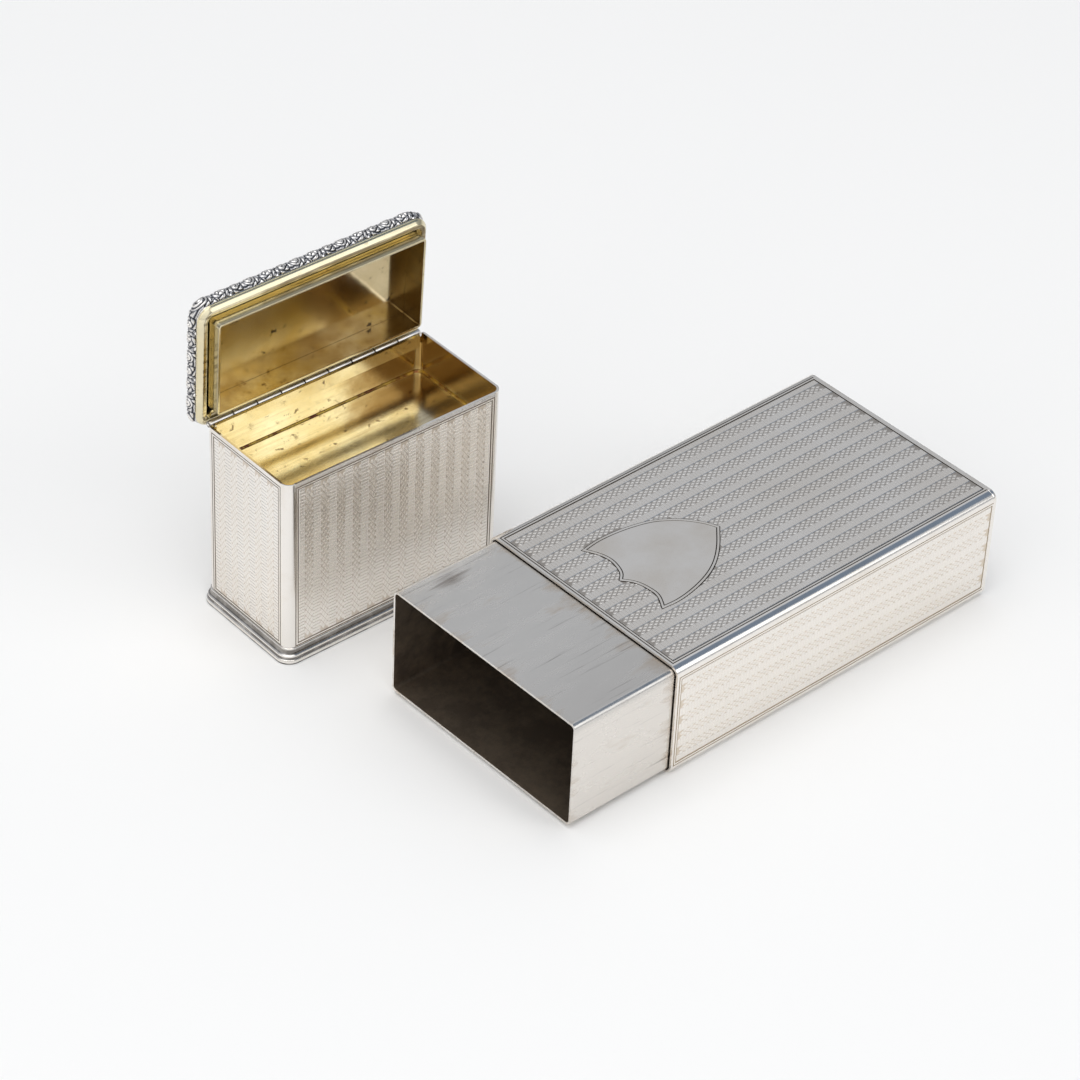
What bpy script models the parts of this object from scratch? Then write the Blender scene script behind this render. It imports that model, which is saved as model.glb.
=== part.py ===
# Cheroot and vesta case: a flat silver case lies on its side, and its cap, which
# has a lidded compartment for vestas in its upper end, stands beside it.
# Metres, +Z up. The origin is the middle of the case's flat underside, and +X
# runs from its mouth to its closed end.

import math

import bmesh
import bpy
from mathutils import Matrix, Vector

# Section that the case and its cap share
case_width = 0.055
case_thickness = 0.027
edge_radius = 0.0021
sheet = 0.0005

# Gap that soldered or resting neighbours keep
seat_gap = 0.0003

# Cheroot case
body_length = 0.090
end_plate_thickness = 0.0008
end_plate_rounding = 0.0003
neck_length = 0.026
neck_grip = 0.012
neck_sheet = 0.0005

# Cap, which stands on its open mouth
cap_height = 0.0446
compartment_depth = 0.0098
floor_sheet = 0.0005
foot_height = 0.0034
foot_projection = 0.0011
cap_centre_x = -0.0540
cap_centre_y = 0.0594
cap_turn = math.radians(-1.6)

# Hinge along the cap's back edge
axis_inset = 0.0003
axis_drop = 0.0004
knuckle_count = 9
knuckle_radius = 0.00075
knuckle_clearance = 0.0001
hinge_end_inset = 0.0005
pin_radius = 0.0003
pin_clearance = 0.00006
bearer_width = 0.0011
bearer_depth = 0.0030

# Lid, with heights measured up from the cap's rim when it is shut
lid_open_angle = math.radians(87.5)
bezel_inset = 0.0015
bezel_setback = 0.0032
bezel_drop = 0.0022
bezel_sheet = 0.0005
bezel_corner_radius = 0.0008
lid_inner_height = 0.0031
lid_sheet = 0.0005
frame_height = 0.0019
frame_width = 0.0012
frame_seat = 0.0006
frame_toe = 0.00035
frame_projection = 0.0012
frame_groove = 0.0010
border_width = 0.0020
border_projection = 0.0019
border_height = 0.0010

# Outlines, as shares of the sizes they follow
foot_profile_shares = (
    (1.0, 0.0), (1.0, 0.22), (0.82, 0.30), (0.62, 0.42), (0.56, 0.60),
    (0.66, 0.66), (0.66, 0.74), (0.44, 0.82), (0.38, 1.0),
)
cove_shares = ((0.0, 0.0), (0.10, 0.40), (0.38, 0.74), (1.0, 1.0))
border_crown_shares = (
    (0.60, 0.0), (0.88, 0.12), (1.0, 0.36), (0.97, 0.60), (0.80, 0.82),
    (0.52, 0.96), (0.18, 1.0), (-0.40, 0.94), (-1.0, 0.66),
)

# Facets of the rounded corners and of the round hinge pieces
corner_segments = 6
round_segments = 24

cutter_overrun = 0.001

silver = (0.62, 0.61, 0.59, 1.0)
worn_silver = (0.48, 0.47, 0.46, 1.0)
gilt = (0.66, 0.50, 0.20, 1.0)
steel = (0.35, 0.35, 0.36, 1.0)


def clear_scene():
    """Remove what the scene holds."""
    for thing in list(bpy.data.objects):
        bpy.data.objects.remove(thing, do_unlink=True)


def new_collection(name):
    """Make a collection and hang it in the scene."""
    collection = bpy.data.collections.new(name)
    bpy.context.scene.collection.children.link(collection)
    return collection


def new_empty(name, collection, location, rotation, parent=None):
    """Make an empty that pieces are parented to."""
    empty = bpy.data.objects.new(name, None)
    empty.location = location
    empty.rotation_euler = rotation
    empty.parent = parent
    empty.empty_display_size = case_thickness / 2
    collection.objects.link(empty)
    return empty


def add_piece(name, mesh, collection, parent, location=(0, 0, 0)):
    """Link a mesh as an object under its parent."""
    piece = bpy.data.objects.new(name, mesh)
    piece.parent = parent
    piece.location = location
    collection.objects.link(piece)
    return piece


def mesh_from(bm, name):
    """Turn a bmesh into a mesh with its faces pointing out."""
    bm.normal_update()
    bmesh.ops.recalc_face_normals(bm, faces=bm.faces)
    mesh = bpy.data.meshes.new(name)
    bm.to_mesh(mesh)
    bm.free()
    return mesh


def finish(piece, colour, roughness):
    """Give a piece its own metal."""
    material = bpy.data.materials.new(piece.name)
    material.use_nodes = True
    shader = material.node_tree.nodes["Principled BSDF"]
    shader.inputs["Base Color"].default_value = colour
    shader.inputs["Roughness"].default_value = roughness
    shader.inputs["Metallic"].default_value = 1.0
    material.diffuse_color = colour
    piece.data.materials.append(material)


def shade_round(mesh):
    """Shade the rounded faces smooth and keep the corners crisp."""
    mesh.shade_smooth()
    mesh.set_sharp_from_angle(angle=math.radians(30))


def rounded_block(bm, width, thickness, low, high, radius):
    """Fill bm with an upright block whose four upright edges are rounded."""
    bmesh.ops.create_cube(bm, size=1)
    for vert in bm.verts:
        level = high if vert.co.z > 0 else low
        vert.co = Vector((vert.co.x * width, vert.co.y * thickness, level))
    upright = [edge for edge in bm.edges if edge.verts[0].co.z != edge.verts[1].co.z]
    bmesh.ops.bevel(
        bm, geom=upright, offset=radius, offset_type="OFFSET",
        segments=corner_segments, profile=0.5, affect="EDGES",
    )


def plate_mesh(name, width, thickness, low, high, radius):
    """A flat plate with rounded corners."""
    bm = bmesh.new()
    rounded_block(bm, width, thickness, low, high, radius)
    return mesh_from(bm, name)


def sleeve(name, collection, parent, width, thickness, low, high, radius, wall):
    """A tube of sheet with rounded long edges, sized over its outside."""
    bm = bmesh.new()
    rounded_block(bm, width, thickness, low, high, radius)
    ends = [face for face in bm.faces if abs(face.normal.z) > abs(face.normal.x) + abs(face.normal.y)]
    bmesh.ops.delete(bm, geom=ends, context="FACES_ONLY")
    mesh = mesh_from(bm, name)
    piece = add_piece(name, mesh, collection, parent)
    skin = piece.modifiers.new("Sheet", "SOLIDIFY")
    skin.thickness = wall
    skin.offset = -1
    skin.use_even_offset = True
    return piece


def corner_path(width, thickness, radius):
    """Points of a rounded rectangle, counter-clockwise."""
    points = []
    for turn, (side_x, side_y) in enumerate(((1, 1), (-1, 1), (-1, -1), (1, -1))):
        centre = Vector((side_x * (width / 2 - radius), side_y * (thickness / 2 - radius)))
        for step in range(corner_segments + 1):
            angle = math.pi / 2 * (turn + step / corner_segments)
            points.append(centre + radius * Vector((math.cos(angle), math.sin(angle))))
    return points


def closed_curve(name, points):
    """A closed flat curve through the points."""
    curve = bpy.data.curves.new(name, "CURVE")
    curve.dimensions = "2D"
    curve.fill_mode = "NONE"
    spline = curve.splines.new("POLY")
    spline.points.add(len(points) - 1)
    for point, place in zip(spline.points, points):
        point.co = (place[0], place[1], 0, 1)
    spline.use_cyclic_u = True
    return curve


def swept_ring(name, collection, parent, profile):
    """A moulding that follows the outer face of the case's section.

    The profile's points are (distance out from that face, height). A section
    lies on its path with +X towards the middle, so the distances change sign.
    """
    outline = closed_curve(name + "_path", corner_path(case_width, case_thickness, edge_radius))
    section = closed_curve(name + "_section", [(-out, up) for out, up in profile])
    section_object = bpy.data.objects.new(name + "_section", section)
    outline_object = bpy.data.objects.new(name + "_path", outline)
    collection.objects.link(section_object)
    collection.objects.link(outline_object)
    outline.bevel_mode = "OBJECT"
    outline.bevel_object = section_object
    bpy.context.view_layer.update()
    depsgraph = bpy.context.evaluated_depsgraph_get()
    swept = bpy.data.meshes.new_from_object(outline_object.evaluated_get(depsgraph))
    bpy.data.objects.remove(outline_object, do_unlink=True)
    bpy.data.objects.remove(section_object, do_unlink=True)
    bm = bmesh.new()
    bm.from_mesh(swept)
    bpy.data.meshes.remove(swept)
    bmesh.ops.remove_doubles(bm, verts=bm.verts, dist=sheet / 100)
    return add_piece(name, mesh_from(bm, name), collection, parent)


def bar_mesh(name, radius, length):
    """A round bar along X."""
    bm = bmesh.new()
    bmesh.ops.create_cone(
        bm, cap_ends=True, segments=round_segments, radius1=radius, radius2=radius,
        depth=length, matrix=Matrix.Rotation(math.pi / 2, 4, "Y"),
    )
    return mesh_from(bm, name)


def hinge_cutter(name, collection, parent):
    """A bar along the hinge, wide enough to clear the knuckles."""
    length = case_width + 2 * (border_projection + cutter_overrun)
    mesh = bar_mesh(name, knuckle_radius + seat_gap, length)
    cutter = add_piece(name, mesh, collection, parent)
    cutter.hide_render = True
    cutter.display_type = "WIRE"
    return cutter


def cut(piece, cutter):
    """Take the cutter's shape out of the piece."""
    boolean = piece.modifiers.new("Hinge clearance", "BOOLEAN")
    boolean.operation = "DIFFERENCE"
    boolean.solver = "EXACT"
    boolean.object = cutter


def build_case_wall(parts, seat):
    """The case's drawn sheet body, open at both ends."""
    far_end = body_length - end_plate_thickness - seat_gap
    wall = sleeve("case_wall", parts, seat, case_width, case_thickness, 0, far_end, edge_radius, sheet)
    finish(wall, silver, 0.30)


def build_case_end_plate(parts, seat):
    """The plate that closes the case, with its outer rim eased."""
    bm = bmesh.new()
    near_face = body_length - end_plate_thickness
    rounded_block(bm, case_width, case_thickness, near_face, body_length, edge_radius)
    rim = [edge for edge in bm.edges if min(vert.co.z for vert in edge.verts) > near_face]
    bmesh.ops.bevel(
        bm, geom=rim, offset=end_plate_rounding, offset_type="OFFSET",
        segments=2, profile=0.5, affect="EDGES",
    )
    plate = add_piece("case_end_plate", mesh_from(bm, "case_end_plate"), parts, seat)
    finish(plate, silver, 0.28)


def build_neck(parts, seat):
    """The neck that the cap slides over, soldered inside the case's mouth."""
    inset = sheet + seat_gap
    neck = sleeve(
        "neck_liner", parts, seat, case_width - 2 * inset, case_thickness - 2 * inset,
        -neck_length, neck_grip, edge_radius - inset, neck_sheet,
    )
    finish(neck, worn_silver, 0.35)


def build_cap_wall(parts, seat, cutter):
    """The cap's sheet body, cut away along its back edge for the hinge."""
    wall = sleeve("cap_wall", parts, seat, case_width, case_thickness, 0, cap_height, edge_radius, sheet)
    cut(wall, cutter)
    finish(wall, silver, 0.30)


def build_compartment_floor(parts, seat):
    """The sheet that parts the vesta compartment from the cap's sleeve."""
    inset = sheet + seat_gap
    top = cap_height - compartment_depth
    mesh = plate_mesh(
        "compartment_floor", case_width - 2 * inset, case_thickness - 2 * inset,
        top - floor_sheet, top, edge_radius - inset,
    )
    floor = add_piece("compartment_floor", mesh, parts, seat)
    finish(floor, gilt, 0.25)


def build_foot_moulding(parts, seat):
    """The stepped moulding round the cap's mouth."""
    profile = [(foot_projection * out, foot_height * up) for out, up in foot_profile_shares]
    profile += [(seat_gap, foot_height), (seat_gap, 0)]
    foot = swept_ring("foot_moulding", parts, seat, profile)
    finish(foot, silver, 0.28)


def build_cap_bearer(parts, seat, cutter):
    """The grooved strip inside the back wall that carries the cap's knuckles."""
    inner_radius = edge_radius - sheet
    back_face = case_thickness / 2 - sheet - seat_gap
    corner_reach = inner_radius - math.sqrt(inner_radius ** 2 - (inner_radius - seat_gap) ** 2)
    length = case_width - 2 * (sheet + corner_reach + seat_gap)
    bm = bmesh.new()
    bmesh.ops.create_cube(bm, size=1)
    for vert in bm.verts:
        vert.co = Vector((
            vert.co.x * length,
            back_face - bearer_width * (0.5 - vert.co.y),
            cap_height - bearer_depth * (0.5 - vert.co.z),
        ))
    bearer = add_piece("cap_hinge_bearer", mesh_from(bm, "cap_hinge_bearer"), parts, seat)
    cut(bearer, cutter)
    finish(bearer, gilt, 0.30)


def build_knuckle(name, parts, axis, left, right):
    """One tube of the hinge, turned about the hinge's axis."""
    bore_radius = pin_radius + pin_clearance
    bm = bmesh.new()
    corners = ((left, bore_radius), (right, bore_radius), (right, knuckle_radius), (left, knuckle_radius))
    ring = [bm.verts.new((x, 0, z)) for x, z in corners]
    for index, vert in enumerate(ring):
        bm.edges.new((vert, ring[(index + 1) % len(ring)]))
    mesh = bpy.data.meshes.new(name)
    bm.to_mesh(mesh)
    bm.free()
    knuckle = add_piece(name, mesh, parts, axis)
    turn = knuckle.modifiers.new("Turned", "SCREW")
    turn.axis = "X"
    turn.steps = round_segments
    turn.render_steps = round_segments
    turn.use_merge_vertices = True
    turn.merge_threshold = pin_clearance / 100
    finish(knuckle, silver, 0.28)


def build_knuckles(parts, cap_axis, lid_axis):
    """Tubes in turn on the cap and on the lid, the cap's at both ends."""
    hinge_length = case_width - 2 * hinge_end_inset
    pitch = hinge_length / knuckle_count
    for index in range(knuckle_count):
        left = -hinge_length / 2 + index * pitch + knuckle_clearance / 2
        right = left + pitch - knuckle_clearance
        side, axis = ("lid", lid_axis) if index % 2 else ("cap", cap_axis)
        build_knuckle(f"{side}_knuckle_{index // 2 + 1}", parts, axis, left, right)


def build_pin(parts, axis):
    """The wire that the knuckles turn on."""
    mesh = bar_mesh("hinge_pin", pin_radius, case_width - 2 * hinge_end_inset)
    pin = add_piece("hinge_pin", mesh, parts, axis)
    finish(pin, steel, 0.35)


def build_lid_plate(parts, rim):
    """The lid's flat sheet, which covers its frame."""
    overlap = sheet - seat_gap
    mesh = plate_mesh(
        "lid_plate", case_width + 2 * overlap, case_thickness + 2 * overlap,
        lid_inner_height, lid_inner_height + lid_sheet, edge_radius + overlap,
    )
    plate = add_piece("lid_plate", mesh, parts, rim)
    finish(plate, gilt, 0.20)


def build_lid_bezel(parts, rim):
    """The upright band inside the lid that enters the compartment."""
    depth = case_thickness - bezel_inset - bezel_setback
    bezel = sleeve(
        "lid_bezel", parts, rim, case_width - 2 * bezel_inset, depth,
        -bezel_drop, lid_inner_height - seat_gap, bezel_corner_radius, bezel_sheet,
    )
    bezel.location.y += (bezel_inset - bezel_setback) / 2
    finish(bezel, gilt, 0.25)


def build_lid_frame(parts, rim, cutter):
    """The coved frame that seats on the cap's rim, grooved along the hinge."""
    top = lid_inner_height - seat_gap
    overlap = sheet - seat_gap
    cove_height = frame_height - seat_gap
    cove = [
        (frame_toe + (frame_projection - frame_toe) * out, seat_gap + cove_height * up)
        for out, up in cove_shares
    ]
    profile = [(-frame_seat, seat_gap)] + cove
    profile += [(overlap, frame_height), (overlap, top), (-frame_width, top)]
    profile += [(-frame_width, seat_gap + frame_groove), (-frame_seat, seat_gap + frame_groove)]
    frame = swept_ring("lid_frame", parts, rim, profile)
    cut(frame, cutter)
    finish(frame, gilt, 0.25)


def build_lid_bearer(parts, rim):
    """The strip between bezel and frame that backs the lid's knuckles."""
    back_face = case_thickness / 2 - frame_width - seat_gap
    front_face = case_thickness / 2 - bezel_setback + seat_gap
    length = case_width - 2 * (bezel_inset + seat_gap)
    top = lid_inner_height - seat_gap
    bm = bmesh.new()
    bmesh.ops.create_cube(bm, size=1)
    for vert in bm.verts:
        vert.co = Vector((
            vert.co.x * length,
            back_face if vert.co.y > 0 else front_face,
            top if vert.co.z > 0 else seat_gap,
        ))
    bearer = add_piece("lid_hinge_bearer", mesh_from(bm, "lid_hinge_bearer"), parts, rim)
    finish(bearer, gilt, 0.25)


def build_lid_border(parts, rim):
    """The cast border that wraps the lid's edge."""
    foot = frame_height + seat_gap
    crown = lid_inner_height + lid_sheet + seat_gap + border_height
    crown_points = [
        (border_projection * out, foot + (crown - foot) * up) for out, up in border_crown_shares
    ]
    plate_top = lid_inner_height + lid_sheet + seat_gap
    profile = [(sheet, foot)] + crown_points
    profile += [(-border_width, plate_top), (sheet, plate_top)]
    border = swept_ring("lid_border", parts, rim, profile)
    finish(border, silver, 0.32)


def main():
    """Build every piece of the case, its cap and the lid."""
    clear_scene()
    parts = new_collection("Cheroot and vesta case")
    cutters = new_collection("Cutters")

    quarter = math.pi / 2
    case_seat = new_empty(
        "case_seat", parts, (-body_length / 2, 0, case_thickness / 2), (quarter, 0, quarter)
    )
    cap_seat = new_empty("cap_seat", parts, (cap_centre_x, cap_centre_y, 0), (0, 0, cap_turn))
    axis_place = Vector((0, case_thickness / 2 - axis_inset, cap_height - axis_drop))
    cap_axis = new_empty("cap_hinge_axis", parts, axis_place, (0, 0, 0), cap_seat)
    lid_axis = new_empty("lid_hinge_axis", parts, axis_place, (-lid_open_angle, 0, 0), cap_seat)
    lid_rim = new_empty("lid_rim", parts, Vector((0, 0, cap_height)) - axis_place, (0, 0, 0), lid_axis)

    cap_cutter = hinge_cutter("cap_hinge_cutter", cutters, cap_axis)
    lid_cutter = hinge_cutter("lid_hinge_cutter", cutters, lid_axis)

    build_case_wall(parts, case_seat)
    build_case_end_plate(parts, case_seat)
    build_neck(parts, case_seat)

    build_cap_wall(parts, cap_seat, cap_cutter)
    build_compartment_floor(parts, cap_seat)
    build_foot_moulding(parts, cap_seat)
    build_cap_bearer(parts, cap_seat, cap_cutter)
    build_knuckles(parts, cap_axis, lid_axis)
    build_pin(parts, cap_axis)

    build_lid_plate(parts, lid_rim)
    build_lid_bezel(parts, lid_rim)
    build_lid_frame(parts, lid_rim, lid_cutter)
    build_lid_bearer(parts, lid_rim)
    build_lid_border(parts, lid_rim)

    for piece in parts.objects:
        if piece.type == "MESH":
            shade_round(piece.data)
    bpy.context.view_layer.update()


if __name__ == "__main__":
    main()
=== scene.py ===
"""Cheroot and vesta case in silver and silver gilt.

Builds the visible pieces of the case, its cap and the lid round the fixed
frame: the engine-turned sheet, the bare reserve, the mouldings, the gilt
compartment and the cast border. Metres, +Z up.
"""

import math
from collections import namedtuple
from functools import partial, wraps

import bmesh
import bpy
import numpy as np
from mathutils import Matrix, Vector


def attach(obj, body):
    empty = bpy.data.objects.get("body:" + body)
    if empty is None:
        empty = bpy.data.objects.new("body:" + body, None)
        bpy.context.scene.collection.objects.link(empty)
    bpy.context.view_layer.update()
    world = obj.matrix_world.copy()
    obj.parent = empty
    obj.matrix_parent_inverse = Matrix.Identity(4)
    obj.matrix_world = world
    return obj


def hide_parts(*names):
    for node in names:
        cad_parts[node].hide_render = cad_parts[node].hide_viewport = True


bl_info = {
    "name": "Cheroot and Vesta Case",
    "version": (1, 0, 0),
    "blender": (4, 5, 0),
    "location": "3D View > Sidebar > Case",
    "description": "Builds a silver cheroot case with its lidded cap",
    "category": "Object",
}

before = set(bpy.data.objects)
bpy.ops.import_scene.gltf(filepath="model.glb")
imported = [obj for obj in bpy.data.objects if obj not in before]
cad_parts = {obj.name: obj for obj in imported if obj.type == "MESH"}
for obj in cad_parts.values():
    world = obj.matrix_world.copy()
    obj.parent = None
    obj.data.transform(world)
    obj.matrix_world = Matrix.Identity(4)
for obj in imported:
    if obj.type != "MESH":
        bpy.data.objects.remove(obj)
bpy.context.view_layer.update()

MM = 0.001
ALL = slice(None)  # every output of a node
SIDEWAYS, UPWARDS = (1, 0, 0), (0, 0, 1)
CLEAR = 0.02 * MM  # room between a soldered piece and what it stands on

# Place of the cap beside the case, and of its lid
CAP_PLACE = Vector((-54.0, 59.4, 0.0)) * MM
CAP_TURN = math.radians(-1.6)
LID_OPEN = math.radians(87.5)
AXIS_INSET = 0.3 * MM
AXIS_DROP = 0.4 * MM

# Camera of the photograph
CAMERA_PLACE = Vector((-0.46544, -0.43067, 0.50976))
CAMERA_AZIMUTH = math.radians(43.4582)
CAMERA_DROP = math.radians(37.8798)
CAMERA_ROLL = math.radians(2.82303)
CAMERA_LENS = 130.836


# ---------------------------------------------------------------- properties


def linear(code):
    """Turn an sRGB hex colour into linear red, green and blue."""
    parts = [int(code[place:place + 2], 16) / 255 for place in (1, 3, 5)]
    return tuple(
        part / 12.92 if part <= 0.04045 else ((part + 0.055) / 1.055) ** 2.4
        for part in parts
    )


def a_length(name, description, millimetres):
    """A length that the user can set."""
    return bpy.props.FloatProperty(
        name=name, description=description, default=millimetres * MM,
        min=0.0, unit="LENGTH", precision=5,
    )


def a_colour(name, description, code):
    """A colour that the user can set."""
    return bpy.props.FloatVectorProperty(
        name=name, description=description, default=linear(code),
        min=0.0, max=1.0, size=3, subtype="COLOR",
    )


class CaseSizes(bpy.types.PropertyGroup):
    """Sizes of the case, its cap and the lid."""

    width: a_length("Width", "Width of the case and its cap", 55.0)
    thickness: a_length("Thickness", "Thickness of the case and its cap", 27.0)
    edge_radius: a_length("Edge radius", "Radius of the long edges", 2.1)
    sheet: a_length("Sheet", "Thickness of the silver sheet", 0.5)
    seam: a_length("Seam", "Room between soldered pieces", 0.3)
    body_length: a_length("Body length", "Length of the case behind its neck", 90.0)
    end_plate: a_length("End plate", "Thickness of the case's closed end", 0.8)
    neck_length: a_length("Neck length", "Length of the neck in front of the case", 26.0)
    neck_grip: a_length("Neck grip", "Length of the neck inside the case", 12.0)
    cap_height: a_length("Cap height", "Height of the cap", 44.6)
    compartment_depth: a_length("Compartment depth", "Depth of the vesta compartment", 9.8)
    floor_sheet: a_length("Floor sheet", "Thickness of the compartment's floor", 0.5)
    foot_height: a_length("Foot height", "Height of the moulding round the mouth", 3.4)
    foot_projection: a_length("Foot projection", "How far the moulding stands out", 1.1)
    edge_break: a_length("Edge break", "Width of the worn bevel on sheet edges", 0.07)


class TurningSizes(bpy.types.PropertyGroup):
    """Sizes of the engine turning and of its engraved frame."""

    depth: a_length("Depth", "Depth of the cuts", 0.07)
    cap_depth: a_length("Cap depth", "Depth of the cuts on the cap and the lid", 0.045)
    band_pitch: a_length("Band pitch", "Distance from one band of grains to the next", 4.0)
    grain_length: a_length("Grain length", "Length of a grain along its band", 1.55)
    grain_width: a_length("Grain width", "Width of a grain across its band", 1.0)
    line: a_length("Line", "Width of an engraved frame line", 0.17)
    fillet: a_length("Fillet", "Width of the bright strip between two frame lines", 0.5)
    side_margin: a_length("Side margin", "Plain strip beside the long edges", 2.1)
    end_margin: a_length("End margin", "Plain strip at the case's ends", 0.5)
    rim_margin: a_length("Rim margin", "Plain strip below the cap's rim", 0.9)
    lid_margin: a_length("Lid margin", "Strip round the lid's panel for the border", 2.0)
    backing: a_length("Backing", "Sheet left under the cuts in a panel", 0.03)


class BorderSizes(bpy.types.PropertyGroup):
    """Sizes of the lid and of its cast border."""

    bezel_inset: a_length("Bezel inset", "From the case's side to the bezel", 1.5)
    bezel_setback: a_length("Bezel setback", "From the case's back to the bezel", 3.2)
    bezel_drop: a_length("Bezel drop", "How far the bezel enters the compartment", 2.2)
    bezel_sheet: a_length("Bezel sheet", "Thickness of the bezel", 0.5)
    bezel_radius: a_length("Bezel radius", "Corner radius of the bezel", 0.8)
    inner_height: a_length("Inner height", "From the rim to the lid's plate", 3.1)
    lid_sheet: a_length("Lid sheet", "Thickness of the lid's plate", 0.5)
    frame_height: a_length("Frame height", "Height of the bevelled frame", 1.9)
    relief: a_length("Relief", "Height of the cast ornament over its ground", 0.46)
    repeat: bpy.props.IntProperty(
        name="Repeats", description="How often the ornament comes round",
        default=14, min=4,
    )


class HingeSizes(bpy.types.PropertyGroup):
    """Sizes of the hinge."""

    knuckles: bpy.props.IntProperty(
        name="Knuckles", description="Knuckles on cap and lid together", default=9, min=3,
    )
    radius: a_length("Radius", "Radius of a knuckle", 0.75)
    bore: a_length("Bore", "Radius of the hole for the pin", 0.36)
    room: a_length("Room", "Radius of the room that is cut for the knuckles", 1.05)
    end_inset: a_length("End inset", "From the case's side to the first knuckle", 0.5)
    clearance: a_length("Clearance", "Gap from one knuckle to the next", 0.14)
    rounding: a_length("Rounding", "Rounding of a knuckle's ends", 0.14)


class CaseColours(bpy.types.PropertyGroup):
    """Colours of the silver and the gilding."""

    silver: a_colour("Silver", "Clean sterling silver", "#F2EEE8")
    soft_tarnish: a_colour("Soft tarnish", "First warm film on the silver", "#C9B79C")
    cut_tarnish: a_colour("Cut tarnish", "What stays in the cap's turned cuts", "#C3B29E")
    # Also painted shade on the neck's top towards its front edge, and the darker cuts of the
    # case's broad faces beside the painted-sheen sides.
    deep_tarnish: a_colour("Deep tarnish", "What stays in the case's turned cuts", "#989189")
    # Also the colour of the foot's painted contact shadow and of the painted shade in its cove
    # and groove.
    line_tarnish: a_colour("Line tarnish", "Dark tarnish in lines and hollows", "#3B352F")
    neck: a_colour("Neck", "Silver dulled by the cap's sliding", "#E0DDD8")
    oxide: a_colour("Oxide", "Black oxide in the casting's recesses", "#3A3B3E")
    worn_oxide: a_colour("Worn oxide", "Oxide rubbed grey on the casting's flanks", "#9C9DA1")
    inside_dark: a_colour("Inside dark", "Old tarnish inside the case", "#73665A")
    # Also the painted light on the case's inner floor.
    inside_light: a_colour("Inside light", "Worn tarnish inside the case", "#B3A28D")
    gilding: a_colour("Gilding", "Clean gilding", "#F1E9CC")
    gilding_worn: a_colour("Worn gilding", "Gilding gone amber", "#DBBB5F")
    # Also the painted shade on the left of the lid's plate.
    gilding_dark: a_colour("Dark gilding", "Tarnish on the gilding", "#5C4526")
    gilding_thin: a_colour("Thin gilding", "Gilding rubbed down to the silver", "#E0D6B6")
    scorched: a_colour("Scorched gilding", "Gilding browned by struck lights", "#A58A5C")
    solder: a_colour("Solder", "Solder gone reddish brown", "#7A4A38")
    floor: a_colour("Floor", "Paper floor of the studio", "#FBF9F6")


Settings = namedtuple("Settings", "sizes turning hinge border")


def settings():
    """Sizes of the case, the turning, the hinge and the lid, as the panel holds them."""
    scene = bpy.context.scene
    return Settings(
        scene.case_sizes, scene.turning_sizes, scene.hinge_sizes, scene.border_sizes,
    )


# ------------------------------------------------------------------- helpers


def fill(node, inputs):
    """Give a node's inputs their values and links; a list links several to one."""
    for key, value in inputs.items():
        for part in value if isinstance(value, list) else [value]:
            if isinstance(part, bpy.types.NodeSocket):
                node.id_data.links.new(part, node.inputs[key])
            elif part is not None:
                node.inputs[key].default_value = part


def add_node(tree, kind, *values, out=0, **named):
    """Add a node, such as "TexNoise" or "Math ADD", and hand out one output.

    Values and links fill the inputs in order, capitalised names fill the
    inputs so called, stops fill a colour ramp, and the other names are settings.
    """
    kind, *operation = kind.split()
    shared = kind in ("Math", "VectorMath", "CombineXYZ", "SeparateXYZ")
    family = "ShaderNode" if shared or tree.type == "SHADER" else "GeometryNode"
    node = tree.nodes.new(family + kind)
    inputs = dict(enumerate(values))
    for name, value in named.items():
        if name[0].isupper():
            inputs[name.replace("_", " ")] = value
        elif name == "stops":
            fill_ramp(node.color_ramp, value)
        else:
            setattr(node, name, value)
    if operation:
        node.operation = operation[0]
    fill(node, inputs)
    return node.outputs[out]


def cap_matrix():
    """The cap's own frame: +Z up, its front towards -Y."""
    return Matrix.Translation(CAP_PLACE) @ Matrix.Rotation(CAP_TURN, 4, "Z")


def hinge_axis():
    """Middle of the hinge's axis, in the cap's own frame."""
    sizes = settings().sizes
    return Vector((0, sizes.thickness / 2 - AXIS_INSET, sizes.cap_height - AXIS_DROP))


def lid_matrix():
    """The lid's own frame when it stands open: its rim plane is z = 0."""
    back = Vector((0, 0, settings().sizes.cap_height)) - hinge_axis()
    return (
        cap_matrix() @ Matrix.Translation(hinge_axis())
        @ Matrix.Rotation(-LID_OPEN, 4, "X") @ Matrix.Translation(back)
    )


def face_matrix(along, out, place):
    """A frame on a face: x runs along its bands, z points out of it."""
    along, out = Vector(along), Vector(out)
    matrix = Matrix((along, out.cross(along), out)).transposed().to_4x4()
    matrix.translation = Vector(place)
    return matrix


def laid_down():
    """From the case standing on its mouth to the case lying on its broad side."""
    height = settings().sizes.thickness / 2
    return Matrix.Translation((0, 0, height)) @ face_matrix((0, 1, 0), SIDEWAYS, (0, 0, 0))


def link(name, data):
    """Link mesh, curve, lamp or camera data to the scene as an object."""
    piece = bpy.data.objects.new(name, data)
    bpy.context.scene.collection.objects.link(piece)
    return piece


def piece_from(bm, name):
    """Turn a bmesh into an object with its faces pointing out."""
    bm.normal_update()
    bmesh.ops.recalc_face_normals(bm, faces=bm.faces)
    mesh = bpy.data.meshes.new(name)
    bm.to_mesh(mesh)
    bm.free()
    return link(name, mesh)


def bake(piece):
    """Replace a piece's mesh by its evaluated mesh and drop its modifiers."""
    bpy.context.view_layer.update()
    evaluated = piece.evaluated_get(bpy.context.evaluated_depsgraph_get())
    mesh = bpy.data.meshes.new_from_object(evaluated)
    piece.modifiers.clear()
    piece.data = mesh
    return piece


def modified(piece, kind, **values):
    """Run one modifier on a piece and bake it."""
    modifier = piece.modifiers.new(kind.title(), kind)
    for name, value in values.items():
        setattr(modifier, name, value)
    return bake(piece)


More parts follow.
